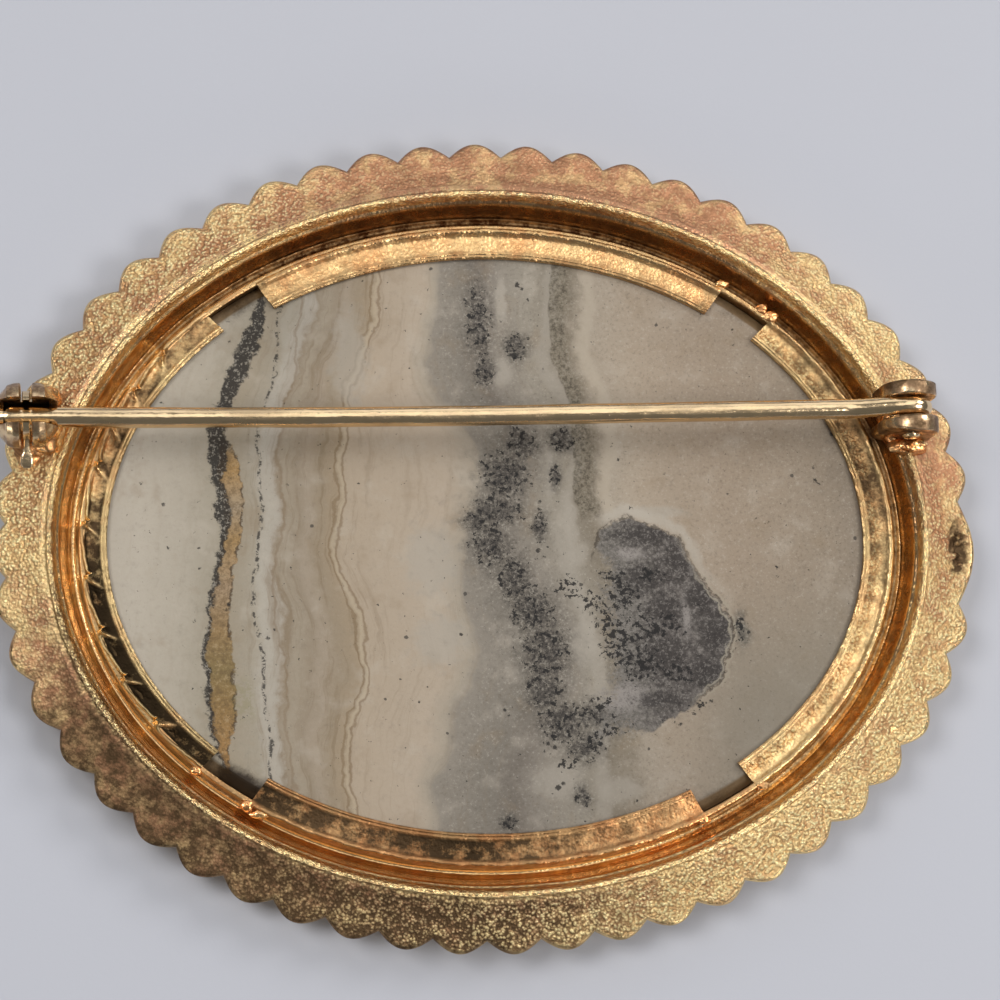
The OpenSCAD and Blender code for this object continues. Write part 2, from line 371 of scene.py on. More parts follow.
def turned_solid(profile, at, axis, steps=48):
    """A solid of revolution, closed at its poles: the profile's rows are a distance along the axis and a
    radius. Its first and last rows are the poles, whose radius is taken as nothing."""
    profile = np.asarray(profile, float)
    turn = full_turn(steps)
    along, radius = profile[1:-1, 0], profile[1:-1, 1]
    side, up = OTHER_AXES[axis]
    points = np.zeros((len(along), steps, 3))
    points[..., axis] = along[:, None]
    points[..., side] = radius[:, None] * np.cos(turn)
    points[..., up] = radius[:, None] * np.sin(turn)
    poles = np.zeros((2, 3))
    poles[:, axis] = profile[[0, -1], 0]
    count = points.shape[0] * steps
    ring, after = np.arange(steps), (np.arange(steps) + 1) % steps
    last = (len(along) - 1) * steps
    near = np.stack([np.full(steps, count), after, ring], 1)
    far = np.stack([np.full(steps, count + 1), ring + last, after + last], 1)
    whole = np.concatenate([points.reshape(-1, 3), poles]) + at
    return Solid(whole, [grid_quads(len(along), steps, closed_rings=False), near, far])


def plate_solid(outline, rows, at, axis):
    """A flat part: loops of a closed outline, each moved inwards by a row's first value and set at its second
    along the axis, shut by a face on each side."""
    outline = np.asarray(outline, float)
    slope = np.roll(outline, -1, 0) - np.roll(outline, 1, 0)
    slope /= np.linalg.norm(slope, axis=1, keepdims=True)
    outwards = np.stack([slope[:, 1], -slope[:, 0]], 1)
    turning = np.sum(outline[:, 0] * np.roll(outline[:, 1], -1) - outline[:, 1] * np.roll(outline[:, 0], -1))
    outwards *= np.sign(turning)
    side, up = OTHER_AXES[axis]
    points = np.zeros((len(rows), len(outline), 3))
    for k, (inset, along) in enumerate(rows):
        points[k][:, [side, up]] = outline - inset * outwards
        points[k][:, axis] = along
    return tube_solid(points + at)


def bevel_rows(low, high, bevel):
    """Rows of a plate whose rims are rounded: a quarter circle of three steps at each side."""
    share = np.radians([0, 30, 60, 90])
    inset, step = bevel * (1 - np.sin(share)), bevel * (1 - np.cos(share))
    lower = np.stack([inset, low + step], 1)
    upper = np.stack([inset, high - step], 1)[::-1]
    return np.concatenate([lower, upper])


def place(name, solid, body, slot, material, replaces=(), crease=40):
    """Puts a solid into a mesh object in metres, with its values as attributes, its finish and its body."""
    mesh = bpy.data.meshes.new(name)
    faces = [row for group in solid.faces for row in group.tolist()]
    mesh.from_pydata((solid.points * MM).tolist(), [], faces)
    mesh.polygons.foreach_set("use_smooth", np.ones(len(faces), bool))
    for key, value in solid.values.items():
        mesh.attributes.new(key, "FLOAT", "POINT").data.foreach_set("value", value.astype(np.float32))
    mesh.update()
    mesh.set_sharp_from_angle(angle=math.radians(crease))
    if mesh.validate():
        raise RuntimeError(f"{name} had faces that are not valid")
    piece = bpy.data.objects.new(name, mesh)
    bpy.context.scene.collection.objects.link(piece)
    mesh.materials.append(material)
    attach(piece, body)
    if replaces:
        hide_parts(*replaces)
    return piece


# Node trees


class Nodes:
    """A node tree and the few ways in which this file fills it."""

    def __init__(self, tree):
        self.tree = tree

    def put(self, kind, values=None, **options):
        """A new node, its options set and its inputs given a value or joined to a socket."""
        node = self.tree.nodes.new("ShaderNode" + kind)
        for key, value in options.items():
            setattr(node, key, value)
        for key, value in (values or {}).items():
            self.give(node.inputs[key], value)
        return node

    def give(self, socket, value):
        if isinstance(value, bpy.types.NodeSocket):
            self.tree.links.new(value, socket)
        elif socket.type == "RGBA":
            socket.default_value = (*value, 1)
        else:
            socket.default_value = value

    def math(self, operation, *values):
        node = self.put("Math", operation=operation)
        for socket, value in zip(node.inputs, values):
            self.give(socket, value)
        return node.outputs[0]

    def times(self, first, second):
        return self.math("MULTIPLY", first, second)

    def plus(self, first, second):
        return self.math("ADD", first, second)

    def minus(self, first, second):
        return self.math("SUBTRACT", first, second)

    def scaled(self, value, factor, start):
        """A value times a factor, added to a start."""
        return self.math("MULTIPLY_ADD", value, factor, start)

    def mix(self, share, low, high, blend="MIX"):
        """Colour between two, by a share."""
        node = self.put("Mix", data_type="RGBA", blend_type=blend)
        for key, value in ((0, share), (6, low), (7, high)):
            self.give(node.inputs[key], value)
        return node.outputs[2]

    def span(self, value, low, high, to_low=0.0, to_high=1.0, smooth=True):
        """A value mapped from one range to another, held at its ends."""
        node = self.put("MapRange", interpolation_type="SMOOTHSTEP" if smooth else "LINEAR")
        for key, number in enumerate((value, low, high, to_low, to_high)):
            self.give(node.inputs[key], number)
        return node.outputs[0]

    def held(self, value):
        """A value held between 0 and 1."""
        return self.span(value, 0.0, 1.0, smooth=False)

    def near(self, distance, half, soft):
        """One within `half` of a line, nothing past `half + soft`."""
        return self.span(self.math("ABSOLUTE", distance), half + soft, half)

    def shifted(self, value, noise, reach, low=0.25):
        """A value pushed up and down by a noise."""
        return self.plus(value, self.span(noise, low, 1 - low, -reach, reach, smooth=False))

    def ramp(self, value, stops):
        """Colour along a row of stops, each a place from 0 to 1 and a colour."""
        node = self.put("ValToRGB", {"Fac": value})
        marks = node.color_ramp.elements
        while len(marks) < len(stops):
            marks.new(0.5)
        for mark, (position, colour) in zip(marks, stops):
            mark.position = position
            mark.color = (*colour, 1)
        return node.outputs[0]

    def graph(self, value, stops):
        """A number along a row of stops, each a place from 0 to 1 and a number."""
        return self.ramp(value, [(at, (number,) * 3) for at, number in stops])

    def attributes(self, *names):
        return [self.put("Attribute", attribute_name=name).outputs["Fac"] for name in names]

    def noise(self, where, scale, detail=2.0, rough=0.5):
        values = {"Vector": where, "Scale": scale, "Detail": detail, "Roughness": rough}
        return self.put("TexNoise", values).outputs["Fac"]

    def patches(self, where, kind, low, high, to_low=0.0, to_high=1.0):
        """A noise of a kind, its scale, detail and roughness, with its middle values mapped to a range."""
        return self.span(self.noise(where, *kind), low, high, to_low, to_high)

    def in_millimetres(self, scale=(1, 1, 1)):
        """Object coordinates in millimetres, stretched by a scale."""
        where = self.put("TexCoord").outputs["Object"]
        return self.put("Mapping", {"Vector": where, "Scale": tuple(s / MM for s in scale)}).outputs[0]

    def effect(self, group, values):
        """A shared effect, with this material's own values."""
        return self.put("Group", values, node_tree=group).outputs


def once(store, name):
    """Marks a function that makes this material or node group. It runs only where there is none yet."""
    def mark(make):
        @functools.wraps(make)
        def found():
            return getattr(bpy.data, store).get(name) or make(name)
        return found
    return mark


VALUE, VECTOR = "NodeSocketFloat", "NodeSocketVector"


def new_group(name, size, value, outputs):
    """An empty node group, its two inputs the place and a size in millimetres, its outputs plain values."""
    tree = bpy.data.node_groups.new(name, "ShaderNodeTree")
    tree.interface.new_socket(name="Place", in_out="INPUT", socket_type=VECTOR)
    tree.interface.new_socket(name=size, in_out="INPUT", socket_type=VALUE).default_value = value
    for label in outputs:
        tree.interface.new_socket(name=label, in_out="OUTPUT", socket_type=VALUE)
    ends = tree.nodes.new("NodeGroupInput").outputs, tree.nodes.new("NodeGroupOutput").inputs
    return Nodes(tree), *ends


@once("node_groups", "cast grain")
def cast_grain(name):
    """Shared effect: the skin of cast gold, small rounded beads with a net of pits between them. Tops are the
    beads' crowns, which take painted glints, and pits are where dirt stays and where painted shade darkens
    them."""
    nodes, given, out = new_group(name, "Bead", 0.3, ("Height", "Pits", "Tops"))
    close = nodes.math("DIVIDE", 1.0, given["Bead"])
    drift = nodes.noise(given["Place"], nodes.times(close, 0.7), 4.0, 0.7)
    cells = nodes.put("TexVoronoi", {"Vector": given["Place"], "Scale": close}).outputs["Distance"]
    away = nodes.scaled(nodes.minus(drift, 0.5), 1.5, cells)
    nodes.give(out["Height"], nodes.span(away, 0.95, 0.0, smooth=False))
    nodes.give(out["Pits"], nodes.span(away, 0.46, 0.70))
    nodes.give(out["Tops"], nodes.span(away, 0.46, 0.18))
    return nodes.tree


@once("node_groups", "fine scratches")
def fine_scratches(name):
    """Shared effect: hairline marks of polishing and wear, two crossed sets of thin stretched grain."""
    nodes, given, out = new_group(name, "Width", 0.05, ("Height",))
    scale = nodes.times(nodes.math("DIVIDE", 0.12, given["Width"]), 0.4)
    sets = []
    for turn, stretch in (((0.2, 0.1, 0.6), 18.0), ((0.5, -0.2, -0.5), 11.0)):
        values = {"Vector": given["Place"], "Rotation": turn, "Scale": (1, stretch, stretch)}
        sets.append(nodes.noise(nodes.put("Mapping", values).outputs[0], scale, 2.0, 0.6))
    nodes.give(out["Height"], nodes.plus(*sets))
    return nodes.tree


def new_material(name, roughness, metallic=0.0):
    """A material with its Principled shader, whose plain values are on the shader's own sockets."""
    material = bpy.data.materials.new(name)
    material.use_nodes = True
    tree = material.node_tree
    shader = tree.nodes["Principled BSDF"]
    shader.inputs["Roughness"].default_value = roughness
    shader.inputs["Metallic"].default_value = metallic
    return material, Nodes(tree), shader.inputs


def bump(nodes, shader, height, depth):
    """Feeds the shader's normal from a height that is worth a depth in millimetres."""
    node = nodes.put("Bump", {"Height": height, "Strength": 1.0, "Distance": depth * MM})
    nodes.give(shader["Normal"], node.outputs[0])


# Linear colours of the painted glints on the cast skin's grains, of the painted shade in its pits, and of the
# blackest tarnish, which on the south-west tab is partly painted shade
PAINTED_GLINT = (1.0, 0.87, 0.48)
RED_PIT_SHADE = (0.46, 0.22, 0.08)
BLACK_AGE_AND_SHADE = (0.03, 0.02, 0.011)


def grain_glint_and_shade(nodes, gold, grain, share, tops, pits):
    """Gold with painted glints on its grains' tops and painted shade, darker and redder, in its pits, by a
    share of each.
    """
    gold = nodes.mix(nodes.times(grain["Tops"], nodes.times(share, tops)), gold, PAINTED_GLINT)
    return nodes.mix(nodes.times(grain["Pits"], nodes.times(share, pits)), gold, RED_PIT_SHADE)


@once("materials", "cast_gold")
def gold_frame(name):
    """Cast rose and yellow gold. The attributes: `cast` is 1 on the rough flange and 0 where it was polished,
    `grain_and_glint` is how clear its grain is and how strong the painted glints and painted pit shade on it
    are,
    `hollow` is where the gold is coppery, partly painted bounce light down in the channel, `rosy` is its
    colour, and
    `aged` is its tarnish, which on the south-west side is partly painted shade."""
    finish = settings()[1]
    material, nodes, shader = new_material(name, 0.3, 1.0)
    where = nodes.in_millimetres()
    cast, grain_and_glint, hollow, rosy, age = nodes.attributes("cast", "grain_and_glint", "hollow", "rosy", "aged")
    grain = nodes.effect(cast_grain(), {"Place": where, "Bead": 0.16})
    mottled = nodes.patches(where, (0.9, 4.0, 0.65), 0.36, 0.64, -0.40, 0.40)
    gold = nodes.mix(nodes.held(nodes.plus(rosy, mottled)), finish.yellow, finish.rose)
    # Coppery down in the channel, partly painted bounce light between its gold walls
    gold = nodes.mix(nodes.times(hollow, 0.85), gold, finish.copper)
    # Painted glints on the grains' tops and painted shade in the pits between them
    gold = grain_glint_and_shade(nodes, gold, grain, grain_and_glint, 0.9, 0.62)
    # Tarnish from the attribute, which on the south-west side is partly painted shade
    patches = nodes.patches(where, (1.6, 6.0, 0.75), 0.35, 0.65, -0.22, 0.22)
    dirt = nodes.scaled(patches, nodes.span(age, 0.0, 0.3), age)
    # More of it stays in the pits than on the tops
    relief = nodes.minus(grain["Pits"], grain["Tops"])
    kept = nodes.times(relief, nodes.times(grain_and_glint, nodes.span(age, 0.1, 0.7, 0.0, 0.55)))
    dirt = nodes.held(nodes.plus(dirt, kept))
    skin = nodes.mix(hollow, finish.tarnish, finish.deep)
    nodes.give(shader["Base Color"], nodes.mix(dirt, gold, skin))
    rough = nodes.scaled(nodes.span(rosy, 0.2, 1.0, 0.20, 0.34), cast, 0.15)
    nodes.give(shader["Roughness"], nodes.scaled(dirt, 0.25, rough))
    lines = nodes.effect(fine_scratches(), {"Place": where, "Width": 0.05})["Height"]
    share = nodes.scaled(grain_and_glint, 0.8, nodes.scaled(cast, 0.17, 0.03))
    bump(nodes, shader, nodes.scaled(lines, 0.006, nodes.times(grain["Height"], share)), 0.10)
    return material


@once("materials", "folded_gold")
def gold_tabs(name):
    """Rolled sheet gold, folded and tapped down. The attributes: `grained` is where its skin is beaded, with
    painted glints on the beads and painted shade between them, `hollow` where it is dull, `rosy` where it is
    coppery, and
    `aged` is the tarnish of its hollows, which on the south-west side is partly painted shade."""
    finish = settings()[1]
    material, nodes, shader = new_material(name, 0.2, 1.0)
    where = nodes.in_millimetres()
    hollow, age, rosy, grained = nodes.attributes("hollow", "aged", "rosy", "grained")
    grain = nodes.effect(cast_grain(), {"Place": where, "Bead": 0.17})
    mottled = nodes.patches(where, (0.7, 4.0, 0.6), 0.40, 0.64, 0.0, 0.45)
    gold = nodes.mix(nodes.held(nodes.plus(mottled, rosy)), finish.yellow, finish.solder)
    # Painted glints on the beads' tops and painted shade in the pits between them
    gold = grain_glint_and_shade(nodes, gold, grain, grained, 0.6, 0.8)
    # Tarnish from the attribute, which on the south-west side is partly painted shade
    patches = nodes.patches(where, (1.2, 6.0, 0.75), 0.32, 0.68, -0.3, 0.3)
    dirt = nodes.held(nodes.scaled(patches, nodes.span(age, 0.0, 0.25), age))
    dirt = nodes.times(dirt, nodes.span(hollow, 0.0, 1.0, 0.6, 1.0))
    # Blackest where the tarnish is heaviest, partly painted shade on the south-west tab
    skin = nodes.mix(nodes.span(age, 0.82, 1.05), finish.tarnish, BLACK_AGE_AND_SHADE)
    nodes.give(shader["Base Color"], nodes.mix(dirt, gold, skin))
    nodes.give(shader["Roughness"], nodes.scaled(dirt, 0.32, nodes.scaled(hollow, 0.16, 0.15)))
    bump(nodes, shader, nodes.times(grain["Height"], nodes.scaled(grained, 0.8, 0.2)), 0.07)
    return material


@once("materials", "pale_gold")
def gold_findings(name):
    """Pale polished gold of the pin, hinge and catch, with hairline scratches, stained and dull where the
    attribute `worn` says so."""
    finish = settings()[1]
    material, nodes, shader = new_material(name, 0.2, 1.0)
    where = nodes.in_millimetres()
    worn = nodes.attributes("worn")[0]
    warm = nodes.mix(0.5, finish.pale, finish.yellow)
    gold = nodes.mix(nodes.noise(where, 0.7), finish.pale, warm)
    patches = nodes.patches(where, (1.1, 5.0, 0.65), 0.36, 0.64, -0.35, 0.35)
    dull = nodes.times(nodes.plus(worn, patches), nodes.span(worn, 0.0, 0.3))
    gold = nodes.mix(nodes.span(dull, 0.1, 0.6, 0.0, 0.55), gold, finish.rose)
    stain = nodes.patches(nodes.in_millimetres((0.25, 1, 1)), (0.9, 4.0, 0.65), 0.42, 0.68)
    stain = nodes.scaled(stain, 0.35, nodes.span(dull, 0.0, 1.0, 0.0, 0.75))
    nodes.give(shader["Base Color"], nodes.mix(stain, gold, finish.tarnish))
    nodes.give(shader["Roughness"], nodes.scaled(stain, 0.34, 0.17))
    lines = nodes.effect(fine_scratches(), {"Place": where, "Width": 0.06})["Height"]
    bump(nodes, shader, nodes.scaled(nodes.noise(where, 1.3), 1.5, nodes.times(lines, 0.18)), 0.02)
    return material


@once("materials", "solder")
def solder_metal(name):
    """Coppery solder: wet-looking, rippled, with dark flux in its folds."""
    finish = settings()[1]
    material, nodes, shader = new_material(name, 0.2, 1.0)
    where = nodes.in_millimetres()
    flux = nodes.patches(where, (1.3, 4.0, 0.65), 0.45, 0.64)
    gold = nodes.mix(nodes.patches(where, (1.2,), 0.42, 0.70, 0.0, 0.55), finish.solder, finish.yellow)
    nodes.give(shader["Base Color"], nodes.mix(nodes.times(flux, 0.7), gold, finish.tarnish))
    nodes.give(shader["Roughness"], nodes.scaled(flux, 0.25, 0.24))
    bump(nodes, shader, nodes.noise(where, 2.0, 3.0, 0.55), 0.05)
    return material


# The frame: flange, crest and channel, the front border, the bezel strip and the folded tabs

# Stations round the frame for each lobe, the first of them in a valley
BACK_STEPS, FRONT_STEPS = 25, 16
# Columns: inset, height, share of the lobes, rough cast, hollow, spacing
BACK_SECTION = (
    (0.02, 1.78, 1.00, 0.0, 0.0, 0.109),
    (0.00, 1.84, 1.00, 0.0, 0.0, 0.068),
    (0.00, 2.03, 1.00, 0.0, 0.0, 0.048),
    (0.05, 2.13, 0.98, 0.0, 0.0, 0.048),
    (0.16, 2.19, 0.85, 0.9, 0.0, 0.082),
    (0.60, 2.33, 0.36, 1.0, 0.0, 0.095),
    (1.10, 2.47, 0.10, 1.0, 0.0, 0.109),
    (1.64, 2.70, 0.02, 1.0, 0.0, 0.095),
    (1.74, 2.78, 0.0, 0.15, 0.0, 0.068),
    (1.99, 2.82, 0.0, 0.0, 0.0, 0.068),
    (2.07, 2.97, 0.0, 0.0, 0.0, 0.041),
    (2.24, 2.995, 0.0, 0.0, 0.0, 0.041),
    (2.33, 2.90, 0.0, 0.0, 0.1, 0.061),
    (2.52, 2.56, 0.0, 0.0, 0.5, 0.082),
    (2.60, 2.535, 0.0, 0.0, 0.5, 0.048),
    (2.68, 2.40, 0.0, 0.0, 0.8, 0.082),
    (2.95, 1.60, 0.0, 0.1, 1.0, 0.109),
    (3.02, 1.56, 0.0, 0.1, 1.0, 0.054),
    (3.08, 1.36, 0.0, 0.1, 1.0, 0.082),
    (3.16, 1.33, 0.0, 0.1, 1.0, 0.068),
    (3.22, 1.26, 0.0, 0.1, 1.0, 0.068),
    (3.36, 1.27, 0.0, 0.1, 1.0, 0.068),
    (3.44, 1.34, 0.0, 0.1, 1.0, 0.082),
    (3.72, 1.30, 0.0, 0.0, 1.0, 0.408),
    (3.60, 0.85, 0.0, 0.0, 0.5, 0.816),
    (1.50, 0.90, 0.3, 0.0, 0.3, 1.224),
    (0.35, 1.60, 0.9, 0.0, 0.0, 0.680),
)
FRONT_SECTION = (
    (0.03, 1.74, 1.00, 0.0, 0.0, 0.12),
    (0.05, 1.62, 1.00, 0.0, 0.0, 0.08),
    (0.30, 1.12, 1.00, 0.0, 0.0, 0.12),
    (0.85, 0.52, 0.70, 0.0, 0.0, 0.12),
    (1.50, 0.14, 0.35, 0.0, 0.1, 0.12),
    (2.20, 0.02, 0.10, 0.0, 0.2, 0.12),
    (2.75, 0.12, 0.00, 0.0, 0.9, 0.10),
    (3.00, 0.36, 0.00, 0.0, 1.0, 0.08),
    (3.25, 0.40, 0.00, 0.0, 1.0, 0.08),
    (3.45, 0.22, 0.00, 0.0, 0.7, 0.08),
    (3.80, 0.10, 0.00, 0.0, 0.0, 0.08),
    (4.60, 0.06, 0.00, 0.0, 0.0, 0.10),
    (4.88, 0.12, 0.00, 0.0, 0.1, 0.05),
    (4.95, 0.24, 0.00, 0.0, 0.4, 0.06),
    (4.95, 0.69, 0.00, 0.0, 0.6, 0.20),
    (3.90, 0.69, 0.00, 0.0, 0.0, 0.60),
    (3.40, 1.05, 0.00, 0.0, 0.0, 0.60),
    (0.60, 1.48, 0.80, 0.0, 0.0, 0.60),
    (0.12, 1.74, 1.00, 0.0, 0.0, 0.30),
)
# The ground spot on the double lobe: its angle, its spread along the edge in degrees, and its inset
GROUND_AT = -2.6
GROUND_SPREAD = 3.4
GROUND_IN = 0.52


def oval_ring(section, steps, ease):
    """A closed ring round the brooch: the eased section carried round the oval, its lobes lifting the edge.
    The stations are spaced evenly along the valley line."""
    section = eased(section, ease)
    inset, height, share, cast = section.T[:4]
    marks, count = edge_count()
    angles = np.interp((LOBE_PHASE + np.arange(LOBES * steps) / steps) % LOBES, count, marks)[:, None]
    lift = share * in_mm(settings()[0].lobe_height) * lobe_arch(angles)
    return angles, section, oval(angles, inset - lift, height), np.broadcast_to(cast, lift.shape)


# Where soldering heat left the crest dull: angle, spread in degrees, tarnish
CREST_HEAT = ((194, 24, 0.42), (4, 14, 0.22))
# Random fields: share, size in millimetres, seed and count of waves each
ROUGH_WAVES = ((0.55, 0.30, 11, 40), (0.7, 0.7, 12), (2.0, 3.0, 13))
WORN_WAVES = ((0.35, 1.4, 14), (1.2, 5.0, 15))
RAGGED_WAVES = ((0.55, 0.35, 16, 40), (0.35, 0.9, 17))
# Insets: where the strip below the crest starts and how far short of the crest it ends, where the wall starts
# to go down, and where the channel is at its darkest
STRIP_IN, STRIP_SHORT, WALL_IN, CHANNEL_IN = 1.6, 0.09, 2.3, 2.9
# Lowest height of the flange's outer skin, and of all that shows from the back
FLANGE_HIGH, SEEN_HIGH = 2.0, 1.2
# Height of a lobe's pillow, depth of the ground spot and height of the rim behind it
PILLOW, SPOT_DEEP, SPOT_RIM = 0.035, 0.24, 0.06
# Height of the valleys between the front's gadroons, the top of the front and the inset of its edge
GADROON, FRONT_HIGH, FRONT_IN = 0.30, 1.5, 2.9


def back_casting():
    """The cast ring's back. Its points move along their normals by the grain of its skin, by the pillow of
    each lobe, and at the double lobe by the ground spot, a ragged pit behind a bright rim."""
    depth = in_mm(settings()[0].grain_depth)
    angles, section, points, cast = oval_ring(BACK_SECTION, BACK_STEPS, 0.035)
    inset, height = section[:, 0], section[:, 1]
    normals = grid_normals(points)
    outwards = np.sign(normals[0, np.argmax(height), 2])
    rough, worn = wave_sum(points, *ROUGH_WAVES), wave_sum(points, *WORN_WAVES)
    strip = rising(inset, STRIP_IN, 0.1) * rising(CREST_IN - STRIP_SHORT - inset, 0, 0.06)
    back = height > FLANGE_HIGH
    strip = strip * back
    cast = np.maximum(cast, aged(angles, ROUGH_STRIP) * strip)
    top = hump(inset - CREST_IN - 0.02, 0.26)
    # How clear the grain is, which also sets the painted glints and pit shade on it: partly painted light,
    # weaker on the north side
    grain_and_glint = np.maximum(cast * aged(angles, GRAIN_AND_GLINT), 0.75 * top)
    field = depth * (rough * (0.3 * cast + 0.7 * grain_and_glint) + worn * (1 - cast) * (height > SEEN_HIGH))
    field = field + PILLOW * lobe_arch(angles) * hump(inset - 0.3, 0.35) * back
    spot = hump(turn_between(angles, GROUND_AT), GROUND_SPREAD) * back
    ragged = 1 + wave_sum(points, *RAGGED_WAVES)
    pit = np.clip(spot * hump(inset - GROUND_IN, 0.30) * ragged, 0, 1.2)
    field = field - SPOT_DEEP * pit + SPOT_RIM * spot * hump(inset - GROUND_IN + 0.55, 0.15)
    points = points + normals * (outwards * field)[..., None]
    down = rising(inset, WALL_IN, 0.3)
    deeper = down * (0.6 + 0.4 * rising(inset, CHANNEL_IN, 0.3))
    # Tarnish, with painted shade that darkens the south-west side of the flange
    tarnish = aged(angles, FLANGE_AGE_AND_SHADE) * (1 - down) * (1 - 0.75 * top)
    tarnish = tarnish + aged(angles, CHANNEL_AGE) * deeper + 1.8 * pit
    heat = sum(share * hump(turn_between(angles, at), wide) for at, wide, share in CREST_HEAT)
    tarnish = tarnish + heat * top
    rosy = aged(angles, ROSY) + 0.35 * (rising(inset, 0, 1.1) - 0.5) - 0.9 * top
    return Solid(
        points, [grid_quads(*cast.shape)], cast=cast, hollow=np.broadcast_to(section[:, 4], cast.shape),
        aged=np.clip(tarnish, 0, 1), rosy=np.clip(rosy, 0, 1), grain_and_glint=grain_and_glint * (1 - np.clip(2 * pit, 0, 1)))


def front_border():
    """The cast ring's front. The valleys between its gadroons run in over the shoulder and fade out."""
    angles, section, points, cast = oval_ring(FRONT_SECTION, FRONT_STEPS, 0.05)
    inset, height = section[:, 0], section[:, 1]
    valley = 1 - np.sqrt(np.clip(lobe_arch(angles), 0, 1))
    front = (height < FRONT_HIGH) & (inset < FRONT_IN)
    points[..., 2] += GADROON * valley * front * np.clip(1 - inset / 2.6, 0, 1) * rising(inset, 0, 0.3)
    # The valleys take the channel's coppery colour, partly painted bounce light
    hollow = np.clip(section[:, 4] + 0.9 * hump(valley - 1, 0.35) * front, 0, 1)
    return Solid(points, [grid_quads(*cast.shape)], cast=cast, hollow=hollow)


class CastFrame(bpy.types.Operator):
    """Builds the cast ring: rough scalloped flange, polished crest, wall and channel, and the front border"""
    bl_idname = "brooch.cast_frame"
    bl_label = "Cast frame"

    def execute(self, context):
        place("back_casting", back_casting(), "setting", "gold_frame", gold_frame(), ["frame"])
        place("front_border", front_border(), "setting", "gold_frame", gold_frame())
        return {"FINISHED"}


# Columns of the two sections below: inset, height, hollow, spacing
STRIP_SECTION = (
    (3.50, 1.12, 0.6, 0.15),
    (3.58, 1.93, 0.2, 0.06),
    (3.64, 1.99, 0.0, 0.04),
    (3.82, 1.99, 0.2, 0.04),
    (3.88, 1.94, 0.5, 0.06),
    (3.88, 0.72, 0.9, 0.20),
    (3.56, 0.72, 0.0, 0.30),
)
TAB_SECTION = (
    (3.42, 1.28, 0.5, 0.12),
    (3.50, 1.80, 0.1, 0.06),
    (3.57, 2.05, 0.0, 0.035),
    (3.66, 2.10, 0.0, 0.035),
    (3.74, 2.065, 0.2, 0.04),
    (3.90, 1.90, 1.0, 0.055),
    (4.08, 1.885, 1.0, 0.06),
    (4.58, 1.975, 0.9, 0.06),
    (4.70, 2.035, 0.0, 0.03),
    (4.775, 1.99, 0.3, 0.025),
    (4.85, 2.035, 0.0, 0.03),
    (4.96, 1.97, 0.0, 0.04),
    (4.96, 1.83, 0.2, 0.06),
    (4.80, 1.80, 0.4, 0.15),
    (3.93, 1.80, 0.4, 0.25),
    (3.90, 1.28, 0.4, 0.25),
)
# Angles at which the creases of the left tab leave its ridge. Each runs on by CRIMP_LEAN degrees over the
# CRIMP_REACH millimetres that it goes in
CRIMPS = (143.2, 150.6, 157.8, 165.1, 175.8, 185.4, 195.2, 204.2, 213.1)
CRIMP_LEAN = 2.7
CRIMP_REACH = 0.95
TAB_STEP = 0.2
# Half width of the beaded zone of a tab, and how far the ridge drifts inwards from one crimp to the next
GRAIN_SPREAD = 0.35
RIDGE_DRIFT = 0.30
# Length along the folded tabs of one degree of the oval, at the left end
MM_PER_DEGREE = 0.283
# Insets of the middle of a tab's ridge and of its lip, and the lowest heights of its ridge and of its top
RIDGE_MIDDLE, LIP_MIDDLE, RIDGE_HIGH, TOP_HIGH = 3.64, 4.85, 1.5, 1.85
# How far a crimp notches the ridge, how deep its pocket is, and how far the ends of a tab curl
NOTCH, POCKET_DEEP, CURL = 0.24, 0.11, 0.05
# The clean pockets are those at angles up to this
CLEAN_TO = 172


def creases(angles, inset, crimps, end):
    """The crimps of a tab: each a raised crease that leans along it as it goes in, a pressed pocket beyond
    the crease, a notch in the ridge where it starts, and the ridge's drift inwards up to the next crimp."""
    crease, pocket, notch, drift = np.zeros((4, len(angles), len(inset)))
    share = rising(inset, RIDGE_IN, CRIMP_REACH)
    for at, after in zip(crimps, crimps[1:] + (end + 9,)):
        distance = (angles - at - CRIMP_LEAN * share) * MM_PER_DEGREE
        crease = np.maximum(crease, hump(distance, 0.17 - 0.07 * share) * np.clip(1.4 - share * 1.3, 0, 1))
        pocket = np.maximum(pocket, hump(distance - 0.75, 0.6) * hump(inset - 4.0, 0.33))
        notch = notch + NOTCH * hump((angles - at) * MM_PER_DEGREE - 0.05, 0.2)
        drift = drift + RIDGE_DRIFT * rising(angles, at, after - at) * (angles < after)
    return crease, pocket, notch, drift


